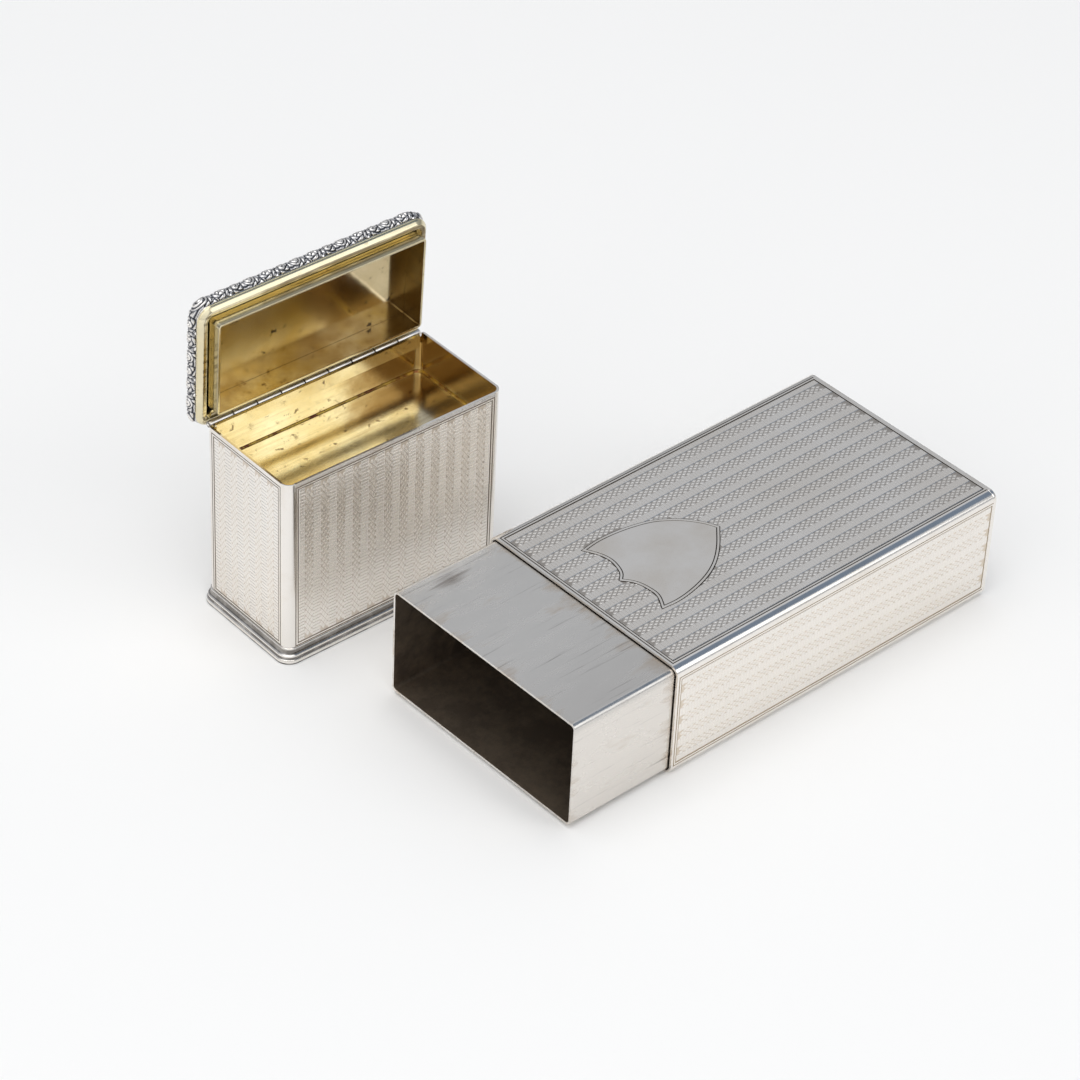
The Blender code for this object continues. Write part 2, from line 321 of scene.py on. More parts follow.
def settle(piece, matrix, body, materials, nodes=(), sharp=30, flat=False):
    """Put the place in the mesh, dress the piece and let it ride on its body.

    Flat keeps large faces shaded flat right up to their rounded edges.
    """
    mesh = piece.data
    mesh.transform(matrix)
    parts = [face.material_index for face in mesh.polygons]
    mesh.materials.clear()
    for material in materials:
        mesh.materials.append(material)
    if len(materials) > 1:
        mesh.polygons.foreach_set("material_index", parts)
    mesh.shade_smooth()
    mesh.set_sharp_from_angle(angle=math.radians(sharp))
    if flat:
        modified(piece, "WEIGHTED_NORMAL", keep_sharp=True)
    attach(piece, body)
    if nodes:
        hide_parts(*nodes)
    return piece


def rounded_block(width, thickness, low, high, radius, segments):
    """An upright block, as a bmesh, whose four upright edges are rounded."""
    bm = bmesh.new()
    bmesh.ops.create_cube(bm, size=1)
    for vert in bm.verts:
        level = high if vert.co.z > 0 else low
        vert.co = Vector((vert.co.x * width, vert.co.y * thickness, level))
    upright = [edge for edge in bm.edges if edge.verts[0].co.z != edge.verts[1].co.z]
    bmesh.ops.bevel(
        bm, geom=upright, offset=radius, offset_type="OFFSET",
        segments=segments, profile=0.5, affect="EDGES",
    )
    return bm


def sleeve(name, width, thickness, low, high, radius, wall, segments=16):
    """A tube of sheet with rounded long edges; its inner faces take a second finish."""
    bm = rounded_block(width, thickness, low, high, radius, segments)
    ends = [face for face in bm.faces if abs(face.normal.z) > 0.5]
    bmesh.ops.delete(bm, geom=ends, context="FACES_ONLY")
    tube = modified(
        piece_from(bm, name), "SOLIDIFY", thickness=wall, offset=-1, use_even_offset=True,
    )
    for face in tube.data.polygons:
        face.material_index = int(face.normal.xy.dot(face.center.xy) < 0)
    return tube


def cut_out(piece, cutter):
    """Cut a closed mesh out of a piece and throw the cutter away."""
    modified(piece, "BOOLEAN", operation="DIFFERENCE", solver="EXACT", object=cutter)
    bpy.data.objects.remove(cutter, do_unlink=True)


def cut_pockets(piece, pockets, depth):
    """Sink shallow rectangular pockets, each (face frame, length, width)."""
    for place, length, width in pockets:
        bm = bmesh.new()
        bmesh.ops.create_cube(bm, size=1)
        bmesh.ops.scale(bm, vec=(length, width, 2 * depth), verts=bm.verts)
        bmesh.ops.transform(bm, matrix=place, verts=bm.verts)
        cut_out(piece, piece_from(bm, "pocket"))


def cut_hinge_room(piece, rim):
    """Hollow the back edge for the knuckles; rim is the level of the cap's rim."""
    sizes, _, hinge, _ = settings()
    past_both_ends = 6 * MM
    bm = bmesh.new()
    bmesh.ops.create_cone(
        bm, cap_ends=True, segments=32, radius1=hinge.room, radius2=hinge.room,
        depth=sizes.width + past_both_ends, matrix=Matrix.Rotation(math.pi / 2, 4, "Y"),
    )
    axis = (0, hinge_axis().y, rim - AXIS_DROP)
    bmesh.ops.translate(bm, verts=bm.verts, vec=axis)
    cut_out(piece, piece_from(bm, "hinge_room"))


def break_edges(piece, width, degrees=50):
    """Give the sharp edges the small worn bevel that catches the light."""
    modified(
        piece, "BEVEL", width=width, segments=2, limit_method="ANGLE",
        angle_limit=math.radians(degrees), use_clamp_overlap=True,
    )


def corner_path(width, thickness, radius, segments):
    """Points of a rounded rectangle, counter-clockwise."""
    points = []
    for turn, (side_x, side_y) in enumerate(((1, 1), (-1, 1), (-1, -1), (1, -1))):
        centre = Vector((side_x * (width / 2 - radius), side_y * (thickness / 2 - radius)))
        for step in range(segments + 1):
            angle = math.pi / 2 * (turn + step / segments)
            points.append(centre + radius * Vector((math.cos(angle), math.sin(angle))))
    return points


def flat_curve(name, points):
    """A closed poly curve through (x, y) points in its own plane."""
    curve = bpy.data.curves.new(name, "CURVE")
    curve.dimensions = "2D"
    curve.fill_mode = "NONE"
    spline = curve.splines.new("POLY")
    spline.points.add(len(points) - 1)
    for point, place in zip(spline.points, points):
        point.co = (place[0], place[1], 0, 1)
    spline.use_cyclic_u = True
    return link(name, curve)


def smooth_profile(points, steps=5):
    """A flowing line through the points of a moulding's profile."""
    points = [Vector(point) for point in points]
    ends = [2 * points[0] - points[1]] + points + [2 * points[-1] - points[-2]]
    line = []
    for before, start, end, after in zip(ends, ends[1:], ends[2:], ends[3:]):
        for step in range(steps):
            share = step / steps
            line.append(0.5 * (
                2 * start + (end - before) * share
                + (2 * before - 5 * start + 4 * end - after) * share ** 2
                + (3 * start - before - 3 * end + after) * share ** 3
            ))
    return line + [points[-1]]


def swept_ring(name, width, thickness, radius, profile, material):
    """A moulding along a rounded rectangle; profile points are (out, up)."""
    ring = grown(name, moulding_tree(), {
        "Path": flat_curve("path", corner_path(width, thickness, radius, segments=14)),
        "Section": flat_curve("section", [(out, -up) for out, up in profile]),
        "Material": material,
    })
    bm = bmesh.new()
    bm.from_mesh(ring.data)
    bmesh.ops.recalc_face_normals(bm, faces=bm.faces)
    bm.to_mesh(ring.data)
    bm.free()
    return ring


# ----------------------------------------------------------------- materials
#
# A pattern's scale is 1 over the real size of its spots in metres: 45 gives
# clouds of 22 mm, 300 patches of 3.3 mm and 1100 scratches 0.9 mm apart. The
# limits of a MapRange stand in order: from low, from high, to low, to high.


def finish(make):
    """Build a finish once: what its maker returns goes into the shader's inputs."""
    name = make.__name__

    @wraps(make)
    def once():
        if name not in bpy.data.materials:
            material = bpy.data.materials.new(name)
            material.use_nodes = True
            add = partial(add_node, material.node_tree)
            made = make(add, add("TexCoord", out="Object"))
            shader = material.node_tree.nodes["Principled BSDF"]
            fill(shader, {"Metallic": 1.0, **made})
        return bpy.data.materials[name]
    return once


def paint(tone):
    """A colour with full alpha: one of the panel's by name, a grey, or as given."""
    if isinstance(tone, bpy.types.NodeSocket):
        return tone
    if isinstance(tone, str):
        tone = getattr(bpy.context.scene.case_colours, tone)
    elif isinstance(tone, float):
        tone = (tone,) * 3
    return (*tone, 1.0)


def layered(add, ground, *layers):
    """Lay colours over a ground, each by its own share."""
    for share, over in layers:
        ground = add(
            "Mix", share, None, None, None, None, None, paint(ground), paint(over),
            out=2, data_type="RGBA",
        )
    return ground


def fill_ramp(tones, stops):
    """Give a colour ramp its rows of position and tone."""
    tones.elements[0].position, tones.elements[1].position = stops[0][0], stops[-1][0]
    for position, _ in stops[1:-1]:
        tones.elements.new(position)
    for element, (_, tone) in zip(tones.elements, stops):
        element.color = paint(tone)


def warm_film(add, place, scale, low, high, most):
    """How much of the first warm tarnish lies on a spot of plain silver."""
    cloud = add("TexNoise", place, Scale=scale, Detail=4.0, Roughness=0.6)
    return add("MapRange", cloud, low, high, 0.0, most)


def drawn_out(add, place, along, across, detail, roughness):
    """Noise drawn out along x, as scratches and streaks are."""
    long = add("Mapping", place, Scale=(along, across, across))
    return add("TexNoise", long, Scale=1.0, Detail=detail, Roughness=roughness)


def own_place(add, place, matrix):
    """Coordinates in the own frame of the cap or the lid: whole, then x, y and z."""
    back = matrix.inverted()
    own = add("Mapping", place, Location=tuple(back.translation), Rotation=back.to_euler())
    return [own, *add("SeparateXYZ", own, out=ALL)]


def turned_silver(add, place, film, lines, cut="cut_tarnish", clean=0.24):
    """Silver cut by a rose engine: bright grains, tarnish low in the cuts."""
    relief = add("Attribute", attribute_name="relief", out="Fac")
    line = add("MapRange", relief, 0.0, 0.08, lines, 0.0)
    height = add("MapRange", relief, 0.1, clean)
    filmed = warm_film(add, place, scale=45.0, low=0.35, high=0.7, most=film)
    metal = layered(add, "silver", (filmed, "soft_tarnish"))
    # Grit of 0.4 mm stands for the tool's far finer chatter.
    grit = add("TexNoise", place, Scale=2600.0, Detail=2.0)
    return {
        "Base Color": layered(add, cut, (height, metal), (line, "line_tarnish")),
        "Roughness": add("MapRange", height, 0.0, 1.0, 0.42, 0.25),
        "Normal": add("Bump", Strength=0.25, Distance=0.02 * MM, Height=grit),
    }


@finish
def rose_engine_silver(add, place):
    """Turned silver of the case's broad faces and end: even and cool, its cuts darker and its
    frame lines stronger than on the sides, which are painted paler.
    """
    return turned_silver(add, place, film=0.2, lines=0.9, cut="deep_tarnish", clean=0.38)


@finish
def worn_rose_engine_silver(add, place):
    """Turned silver of the case's sides, painted pale with faint frame lines: painted sheen for
    the bright floor that they mirror.
    """
    return turned_silver(add, place, film=0.08, lines=0.3, cut="soft_tarnish")


@finish
def filmed_rose_engine_silver(add, place):
    """Turned silver of the cap: a warm film in clouds and warm tan in its cuts."""
    return turned_silver(add, place, film=0.16, lines=0.7)


@finish
def hand_polished_silver(add, place):
    """Polished sterling silver with the fine hairlines of long handling."""
    film = warm_film(add, place, scale=120.0, low=0.5, high=0.8, most=0.3)
    hairs = add("TexNoise", place, Scale=900.0, Detail=3.0)
    return {
        "Base Color": layered(add, "silver", (film, "soft_tarnish")),
        "Roughness": add("MapRange", hairs, 0.0, 1.0, 0.10, 0.20),
        "Normal": add("Bump", Strength=0.12, Distance=0.02 * MM, Height=hairs),
    }


@finish
def knuckle_silver(add, place):
    """Hinge barrel, satin from rubbing, with tarnish in the joints between knuckles."""
    sizes, _, hinge, _ = settings()
    half = knuckle_pitch() / 2
    x = own_place(add, place, cap_matrix())[1]
    start = add("Math ADD", x, sizes.width / 2 - hinge.end_inset)
    away = add("Math PINGPONG", start, half)
    joint = add("Math SUBTRACT", add("Math PINGPONG", start, 2 * half), half)
    joint = add("Math SUBTRACT", half, add("Math ABSOLUTE", joint))
    near = add("Math MINIMUM", away, joint)
    dark = add("MapRange", near, 0.22 * MM, 0.12 * MM, 0.0, 0.7)
    film = warm_film(add, place, scale=260.0, low=0.45, high=0.7, most=0.3)
    return {
        "Base Color": layered(add, "silver", (film, "cut_tarnish"), (dark, "line_tarnish")),
        "Roughness": 0.3,
    }


@finish
def reserve_silver(add, place):
    """Burnished bare silver: a clear, faintly clouded mirror."""
    film = warm_film(add, place, scale=70.0, low=0.4, high=0.75, most=0.35)
    level, top = add("SeparateXYZ", place, out="Z"), settings().sizes.thickness
    sunk = add("MapRange", level, top + 0.01 * MM, top + 0.05 * MM)
    clouded = layered(add, "silver", (film, "soft_tarnish"))
    return {"Base Color": layered(add, "line_tarnish", (sunk, clouded)), "Roughness": 0.1}


@finish
def foot_silver(add, place):
    """Polished silver moulding, dark in bands by height: tarnish and painted shade in its groove
    and cove, and a painted contact shadow along its bottom edge.
    """
    level = add("SeparateXYZ", place, out="Z")
    share = add("MapRange", level, 0.0, settings().sizes.foot_height)
    # Painted contact shadow at the bottom edge (0 to 0.07 of the height); tarnish and painted
    # shade in the groove (0.28 to 0.38) and the cove (0.60 to 0.84); a little darker at the top.
    hollow = add("ValToRGB", share, stops=(
        (0.0, 1.0), (0.07, 1.0), (0.10, 0.05), (0.24, 0.0), (0.28, 0.8), (0.38, 0.8),
        (0.43, 0.05), (0.56, 0.0), (0.60, 0.8), (0.84, 0.8), (0.92, 0.3), (1.0, 0.2),
    ))
    cloud = add("TexNoise", place, Scale=300.0, Detail=4.0)
    patchy = add("MapRange", cloud, 0.2, 0.55, 0.35)
    dark = add("Math MULTIPLY", hollow, patchy)
    return {"Base Color": layered(add, "silver", (dark, "line_tarnish")), "Roughness": 0.16}


@finish
def rubbed_silver(add, place):
    """Plain silver that the cap rubs: satin, with long scratches and brown smudges; painted light
    makes its sides lighter and its top darker towards the front.
    """
    sizes = settings().sizes
    mouth = -sizes.body_length / 2
    scratch = drawn_out(add, place, along=35.0, across=1100.0, detail=5.0, roughness=0.7)
    smear = drawn_out(add, place, along=75.0, across=260.0, detail=7.0, roughness=0.68)
    x, y, z = add("SeparateXYZ", place, out=ALL)
    shoulder = add("MapRange", x, mouth - 5 * MM, mouth, 0.0, 0.2)
    end = add("MapRange", x, mouth - 22 * MM, mouth - sizes.neck_length, 0.0, 0.12)
    worn = add("Math ADD", add("Math ADD", smear, shoulder), end)
    smudge = add("MapRange", worn, 0.60, 0.82, 0.0, 0.75)
    line = add("MapRange", scratch, 0.60, 0.69, 0.0, 0.6)
    line = add("Math MULTIPLY", line, worn)
    top = sizes.thickness
    # Painted light: the sides lighter in clean silver; painted shade: the top darker towards its
    # front edge.
    side = add("MapRange", z, top - 1.8 * MM, top - 3 * MM, 0.0, 0.9)
    front = add("MapRange", y, -3 * MM, -sizes.width / 2, 0.0, 0.2)
    # A brown thumb mark by the mouth, 12 mm long and 7 mm wide.
    patch = add("VectorMath SUBTRACT", place, Vector((-60, 22, 26)) * MM)
    patch = add("VectorMath MULTIPLY", patch, (165.0, 285.0, 100.0))
    patch = add("Math MULTIPLY_ADD", add("VectorMath LENGTH", patch, out="Value"), 0.4, scratch)
    thumb = add("MapRange", patch, 0.82, 0.50, 0.0, 0.62)
    return {
        "Base Color": layered(
            add, "neck", (side, "silver"), (smudge, "cut_tarnish"), (front, "deep_tarnish"),
            (thumb, "inside_dark"), (line, "line_tarnish"),
        ),
        "Roughness": add("MapRange", smear, 0.3, 0.7, 0.16, 0.34),
        "Normal": add("Bump", Strength=0.10, Distance=0.02 * MM, Height=scratch),
    }


@finish
def dark_inside(add, place):
    """Silver blackened by years of tobacco: mottled brown and grey, with its floor painted paler
    as painted light.
    """
    cloud = add("TexNoise", place, Scale=140.0, Detail=8.0, Roughness=0.68)
    mottled = add("MapRange", cloud, 0.42, 0.72)
    # Painted light: the floor of the case is painted paler, for the light that reaches it through
    # the mouth.
    level = add("SeparateXYZ", place, out="Z")
    painted_floor_light = add("MapRange", level, 2.0 * MM, 0.8 * MM, 0.0, 0.45)
    worn = add("Math ADD", mottled, painted_floor_light, use_clamp=True)
    return {
        "Base Color": layered(add, "inside_dark", (worn, "inside_light")),
        "Metallic": 0.85,
        "Roughness": add("MapRange", worn, 0.0, 1.0, 0.45, 0.28),
        "Normal": add("Bump", Strength=0.2, Distance=0.05 * MM, Height=cloud),
    }


def gild(add, place, *layers, mirror, matt, aged, dulled=None):
    """Gilding on silver: clear gold that goes amber and brown in clouds."""
    cloud = add("TexNoise", place, Scale=75.0, Detail=6.0, Roughness=0.62)
    amber = add("MapRange", cloud, 0.35, 0.68, 0.0, aged)
    specks = add("TexNoise", place, Scale=520.0, Detail=3.0, Roughness=0.5)
    speck = add("MapRange", specks, 0.64, 0.72, 0.0, 0.8)
    waves = add("TexNoise", place, Scale=190.0, Detail=2.0)
    return {
        "Base Color": layered(
            add, "gilding", (amber, "gilding_worn"), (speck, "gilding_dark"), *layers,
        ),
        "Roughness": add("MapRange", dulled or amber, 0.0, 1.0, mirror, matt),
        "Normal": add("Bump", Strength=0.25, Distance=0.08 * MM, Height=waves),
    }


@finish
def fire_gilt_silver(add, place):
    """Fire-gilt silver of the hinge strips: soft gold and amber."""
    return gild(add, place, mirror=0.12, matt=0.26, aged=0.5)


@finish
def burnt_solder(add, place):
    """Run of solder under thin gilding, gone reddish brown in patches."""
    patch = warm_film(add, place, scale=420.0, low=0.38, high=0.58, most=1.0)
    return {"Base Color": layered(add, "solder", (patch, "gilding_worn")), "Roughness": 0.34}


@finish
def rubbed_gilt(add, place):
    """Gilding rubbed thin on the lid's frame and bezel: silver shows through."""
    wear = warm_film(add, place, scale=160.0, low=0.30, high=0.52, most=0.85)
    # Streaks along the lid, brown on its right: what a cloth never reached.
    own, x, _, z = own_place(add, place, lid_matrix())
    streak = drawn_out(add, own, along=90.0, across=1300.0, detail=5.0, roughness=0.65)
    right = add("MapRange", x, -20 * MM, 26 * MM, -0.03, 0.13)
    stain = add("MapRange", add("Math ADD", streak, right), 0.47, 0.58, 0.08, 0.7)
    stain = add("Math MULTIPLY", stain, add("Math COMPARE", z, 0.25 * MM, 0.12 * MM))
    # Darker low on the bezel's wall, but not on its edge.
    low = add("MapRange", z, -0.5 * MM, -2.0 * MM, 0.0, 0.42)
    wall = add("Math GREATER_THAN", z, 0.03 * MM - settings().border.bezel_drop)
    low = add("Math MULTIPLY", low, wall)
    return gild(
        add, place, (wear, "gilding_thin"), (stain, "gilding_dark"), (low, "line_tarnish"),
        mirror=0.14, matt=0.26, aged=0.45,
    )


@finish
def amber_gilt(add, place):
    """Gilding inside the lid, browned by warm fumes: amber over dark streaks."""
    fume = warm_film(add, place, scale=130.0, low=0.35, high=0.62, most=0.8)
    x = own_place(add, place, lid_matrix())[1]
    brown = add("MapRange", x, -20 * MM, -2 * MM, 0.15, 0.75)
    return gild(
        add, place, (fume, "scorched"), (brown, "gilding_dark"), mirror=0.14, matt=0.24, aged=1.0,
    )


@finish
def gilt_mirror(add, place):
    """Gilding on the flat lid, smooth enough to mirror the rim as a soft shape, with painted
    shade across it: dark on the left, clean and pale on the right.
    """
    x = own_place(add, place, lid_matrix())[1]
    # Painted shade across the plate: clean pale gilding to the right, dark gilding to the left.
    clear = add("MapRange", x, -4 * MM, 12 * MM, 0.0, 0.7)
    low = add("MapRange", x, 2 * MM, -22 * MM, 0.0, 0.25)
    fume = warm_film(add, place, scale=95.0, low=0.38, high=0.7, most=0.4)
    specks = warm_film(add, place, scale=460.0, low=0.66, high=0.70, most=0.8)
    return gild(
        add, place, (0.55, "gilding_worn"), (low, "gilding_dark"), (clear, "gilding"),
        (fume, "scorched"), (specks, "line_tarnish"),
        mirror=0.24, matt=0.06, aged=1.0, dulled=clear,
    )


@finish
def compartment_gilt(add, place):
    """Gilding inside the box: clear on the left, scorched brown on the right."""
    sizes = settings().sizes
    floor = sizes.cap_height - sizes.compartment_depth
    streak = drawn_out(add, place, along=45.0, across=1000.0, detail=4.0, roughness=0.6)
    streak = add("MapRange", streak, 0.48, 0.70, 0.0, 0.32)
    _, x, _, z = own_place(add, place, cap_matrix())
    cloud = add("TexNoise", place, Scale=110.0, Detail=6.0, Roughness=0.65)
    drift = add("Math MULTIPLY_ADD", cloud, 34 * MM, x)
    scorch = add("MapRange", drift, 18 * MM, 34 * MM, 0.0, 0.95)
    spared = add("MapRange", z, floor + 0.1 * MM, floor + 1.5 * MM, 0.35, 1.0)
    scorch = add("Math MULTIPLY", scorch, spared)
    made = gild(
        add, place, (streak, "scorched"), (scorch, "scorched"), mirror=0.14, matt=0.3, aged=0.4,
    )
    above = add("Math GREATER_THAN", z, floor - sizes.floor_sheet)
    made["Base Color"] = layered(add, "inside_light", (above, made["Base Color"]))
    return made


@finish
def oxidised_cast_silver(add, place):
    """Cast and chased silver: rubbed high spots over black oxide."""
    relief = add("Attribute", attribute_name="relief", out="Fac")
    height = add("MapRange", relief, 0.13, 0.66)
    grain = add("TexNoise", place, Scale=1500.0, Detail=2.0)
    return {
        "Base Color": add("ValToRGB", height, stops=(
            (0.0, "oxide"), (0.36, "worn_oxide"), (1.0, "silver"),
        )),
        "Roughness": add("MapRange", height, 0.0, 1.0, 0.5, 0.16),
        "Normal": add("Bump", Strength=0.2, Distance=0.03 * MM, Height=grain),
    }


@finish
def floor_paper(add, place):
    """Matt white paper, a little warmer where the silver mirrors it."""
    seen = add("LightPath", out="Is Camera Ray")
    paper = layered(add, "floor", (seen, (0.965, 0.95, 0.92)))
    return {"Base Color": paper, "Metallic": 0.0, "Roughness": 0.9, "Specular IOR Level": 0.0}


# ------------------------------------------------------------ geometry trees


def growing(name, **sockets):
    """Make a geometry tree once, with named inputs, from what its maker returns."""
    def wrap(make):
        @wraps(make)
        def once():
            if name in bpy.data.node_groups:
                return bpy.data.node_groups[name]
            tree = bpy.data.node_groups.new(name, "GeometryNodeTree")
            new_socket = tree.interface.new_socket
            for kind, titles in sockets.items():
                for title in titles.split(", "):
                    new_socket(title, in_out="INPUT", socket_type="NodeSocket" + kind)
            new_socket("Geometry", in_out="OUTPUT", socket_type="NodeSocketGeometry")
            given = tree.nodes.new("NodeGroupInput").outputs
            add = partial(add_node, tree)
            real = add("RealizeInstances", make(add, given))
            dressed = add("SetMaterial", real, Material=given["Material"])
            tree.links.new(dressed, tree.nodes.new("NodeGroupOutput").inputs[0])
            return tree
        return once
    return wrap


def grown(name, tree, values):
    """Run a tree with its named values, keep a plain mesh and drop the guides."""
    piece = link(name, bpy.data.meshes.new(name))
    modifier = piece.modifiers.new(tree.name, "NODES")
    modifier.node_group = tree
    for item in tree.interface.items_tree:
        if item.in_out == "INPUT" and item.name in values:
            modifier[item.identifier] = values[item.name]
    bake(piece)
    for guide in values.values():
        if isinstance(guide, bpy.types.Object):
            bpy.data.objects.remove(guide, do_unlink=True)
    return piece


@growing("Moulding", Object="Path, Section", Material="Material")
def moulding_tree(add, given):
    """A moulding: one section swept along one path."""
    path = add("ObjectInfo", given["Path"], out="Geometry")
    section = add("ObjectInfo", given["Section"], out="Geometry")
    return add("CurveToMesh", add("SetCurveNormal", path, mode="Z_UP"), section)


@growing(
    "Engine turning", Int="Bands, Grains", Object="Reserve", Material="Material",
    Float="Length, Width, Band pitch, Cut pitch, Grain width, Edge bar, Depth, Backing, "
          "Line, Fillet",
)
def turning_tree(add, given):
    """Engine turning: bands of staggered grains between bands of straight cuts."""
    length, width, depth = given["Length"], given["Width"], given["Depth"]
    pitch, cut, grain_width = given["Band pitch"], given["Cut pitch"], given["Grain width"]
    grains, bands, edge_bar = given["Grains"], given["Bands"], given["Edge bar"]
    position = add("InputPosition")
    note = {"Name": "relief", "data_type": "FLOAT", "domain": "POINT"}

    def rising(geometry, low):
        """Note on each point how high it stands, as a share of the depth."""
        share = add("Math DIVIDE", add("SeparateXYZ", position, out="Z"), depth)
        share = add("Math MAXIMUM", share, low)
        return add("StoreNamedAttribute", geometry, Value=share, **note)

    # Places of the grains: two rows a band, staggered by half a grain
    grain_length = add("Math MULTIPLY", cut, 2.0)
    less, lesser = add("Math SUBTRACT", grains, 1.0), add("Math SUBTRACT", grains, 2.0)
    quarter = add("Math MULTIPLY", grain_width, 0.25)
    rows = []
    for steps, points, side in ((less, grains, -1.0), (lesser, less, 1.0)):
        row = add("MeshGrid", add("Math MULTIPLY", grain_length, steps), grain_width, points, 2)
        aside = add("CombineXYZ", 0.0, add("Math MULTIPLY", quarter, side), 0.0)
        rows.append(add("Transform", row, Translation=aside))
    fewer = add("Math SUBTRACT", bands, 1.0)
    spread = add("Math MULTIPLY", fewer, pitch)
    lines = add("MeshGrid", 0.0, spread, 1, bands)
    band = add("InstanceOnPoints", lines, Instance=add("JoinGeometry", rows))
    seats = add("RealizeInstances", band)

    # Places of the straight cuts, between the bands and along both edges
    bars = add("Math ADD", add("Math MULTIPLY", grains, 2.0), 1.0)
    run = add("Math SUBTRACT", length, cut)
    between = add("MeshGrid", run, add("Math SUBTRACT", spread, pitch), bars, fewer)
    outer = add("MeshGrid", run, add("Math SUBTRACT", width, edge_bar), bars, 2)

    # Nothing stands where the reserve lies
    outline = add("ObjectInfo", given["Reserve"], out="Geometry")
    above = add("VectorMath ADD", position, UPWARDS)
    under = add(
        "Raycast", Target_Geometry=outline, Source_Position=above,
        Ray_Direction=(0, 0, -1), Ray_Length=2.0, out="Is Hit",
    )

    cone = {"Vertices": 4, "Side_Segments": 1, "Depth": 1.0, "fill_type": "NGON"}
    grain = add("MeshCone", Radius_Top=0.0, Radius_Bottom=1.0, **cone)
    corner = math.sqrt(0.5)
    block = add("MeshCone", Radius_Top=corner * 0.80, Radius_Bottom=corner * 0.98, **cone)
    block = add("Transform", block, Rotation=(0, 0, math.radians(45)))
    plain = add("Math SUBTRACT", pitch, add("Math MULTIPLY", grain_width, 2.0))
    top = add("Math MULTIPLY", depth, 0.94)
    parts = []
    for points, shape, breadth in (
        (seats, grain, add("Math MULTIPLY", grain_width, 0.5)),
        (between, block, add("Math MULTIPLY", plain, 1.06)), (outer, block, edge_bar),
    ):
        shape = add("Transform", shape, Scale=add("CombineXYZ", cut, breadth, top))
        kept = add("DeleteGeometry", points, Selection=under, domain="POINT")
        parts.append(add("InstanceOnPoints", kept, Instance=rising(shape, 0.1)))

    # The bright strip between the two frame lines
    full_line = add("Math MULTIPLY", given["Line"], 2.0)
    reach = add("Math ADD", full_line, given["Fillet"])
    strip = add(
        "CurvePrimitiveQuadrilateral",
        Width=add("Math ADD", length, reach), Height=add("Math ADD", width, reach),
    )
    section = add(
        "CurvePrimitiveQuadrilateral",
        Width=given["Fillet"], Height=add("Math MULTIPLY", depth, 2.0),
    )
    parts.append(rising(add("CurveToMesh", strip, section), 0.0))

    # The ground of the frame lines, and the bed that the cuts stand on
    both = add("Math MULTIPLY", add("Math ADD", given["Line"], given["Fillet"]), 2.0)
    both = add("Math ADD", both, full_line)
    outer_length, outer_width = add("Math ADD", length, both), add("Math ADD", width, both)
    for size_x, size_y, height, side, relief in (
        (outer_length, outer_width, given["Backing"], -0.5, 0.0),
        (length, width, add("Math MULTIPLY", depth, 0.06), 0.5, 0.16),
    ):
        slab = add("MeshCube", add("CombineXYZ", size_x, size_y, height))
        level = add("CombineXYZ", 0.0, 0.0, add("Math MULTIPLY", height, side))
        slab = add("Transform", slab, Translation=level)
        parts.append(add("StoreNamedAttribute", slab, Value=relief, **note))
    ground = add("CombineXYZ", 0.0, 0.0, add("Math MULTIPLY", depth, -1.0))
    everything = add("RealizeInstances", add("JoinGeometry", parts))
    return add("Transform", everything, Translation=ground)


@growing(
    "Knuckles", Int="Count", Float="Pitch, Length, Radius, Bore, Rounding", Material="Material",
)
def knuckle_tree(add, given):
    """A row of turned knuckles along x, set about the middle."""
    radius, bore, pitch = given["Radius"], given["Bore"], given["Pitch"]
    wall = add("Math SUBTRACT", radius, bore)
    middle = add("Math MULTIPLY", add("Math ADD", radius, bore), 0.5)
    section = add("CurvePrimitiveQuadrilateral", Width=wall, Height=given["Length"])
    rounded = add("FilletCurve", section, Count=4, Radius=given["Rounding"], mode="POLY")
    circle = add("CurvePrimitiveCircle", Resolution=40, Radius=middle, mode="RADIUS")
    lying = add("Transform", add("CurveToMesh", circle, rounded), Rotation=(0, math.pi / 2, 0))
    less = add("Math SUBTRACT", given["Count"], 1.0)
    start = add("Math MULTIPLY", add("Math MULTIPLY", less, pitch), -0.5)
    row = add(
        "MeshLine", Count=given["Count"], Start_Location=add("CombineXYZ", start),
        Offset=add("CombineXYZ", pitch),
    )
    return add("InstanceOnPoints", row, Instance=lying)


@growing(
    "Wrapped border", Object="Unit, Path, Section", Int="Repeats", Float="Merge",
    Material="Material",
)
def wrap_tree(add, given):
    """Cast border: a repeated unit laid along a path and round a section."""
    unit, path, section = (
        add("ObjectInfo", given[title], out="Geometry") for title in ("Unit", "Path", "Section")
    )
    row = add("MeshLine", Count=given["Repeats"], Offset=SIDEWAYS)
    sheet = add("RealizeInstances", add("InstanceOnPoints", row, Instance=unit))
    along, around, height = add("SeparateXYZ", add("InputPosition"), out=ALL)
    along = add("Math DIVIDE", along, given["Repeats"])
    # A sampled curve's outputs: value, position, tangent and normal
    _, on_path, way, _ = add("SampleCurve", Curves=path, Factor=along, mode="FACTOR", out=ALL)
    _, on_section, rise, _ = add(
        "SampleCurve", Curves=section, Factor=around, mode="FACTOR", out=ALL,
    )
    out = add("VectorMath CROSS_PRODUCT", way, UPWARDS)
    facing = add("VectorMath CROSS_PRODUCT", rise, UPWARDS)
    raised = add("VectorMath SCALE", facing, Scale=height)
    aside, up, _ = add("SeparateXYZ", add("VectorMath ADD", on_section, raised), out=ALL)
    shift = add("VectorMath SCALE", out, Scale=aside)
    shift = add("VectorMath ADD", shift, add("CombineXYZ", None, None, up))
    bent = add("SetPosition", sheet, Position=add("VectorMath ADD", on_path, shift))
    return add("MergeByDistance", bent, Distance=given["Merge"])


# -------------------------------------------------------------------- panels


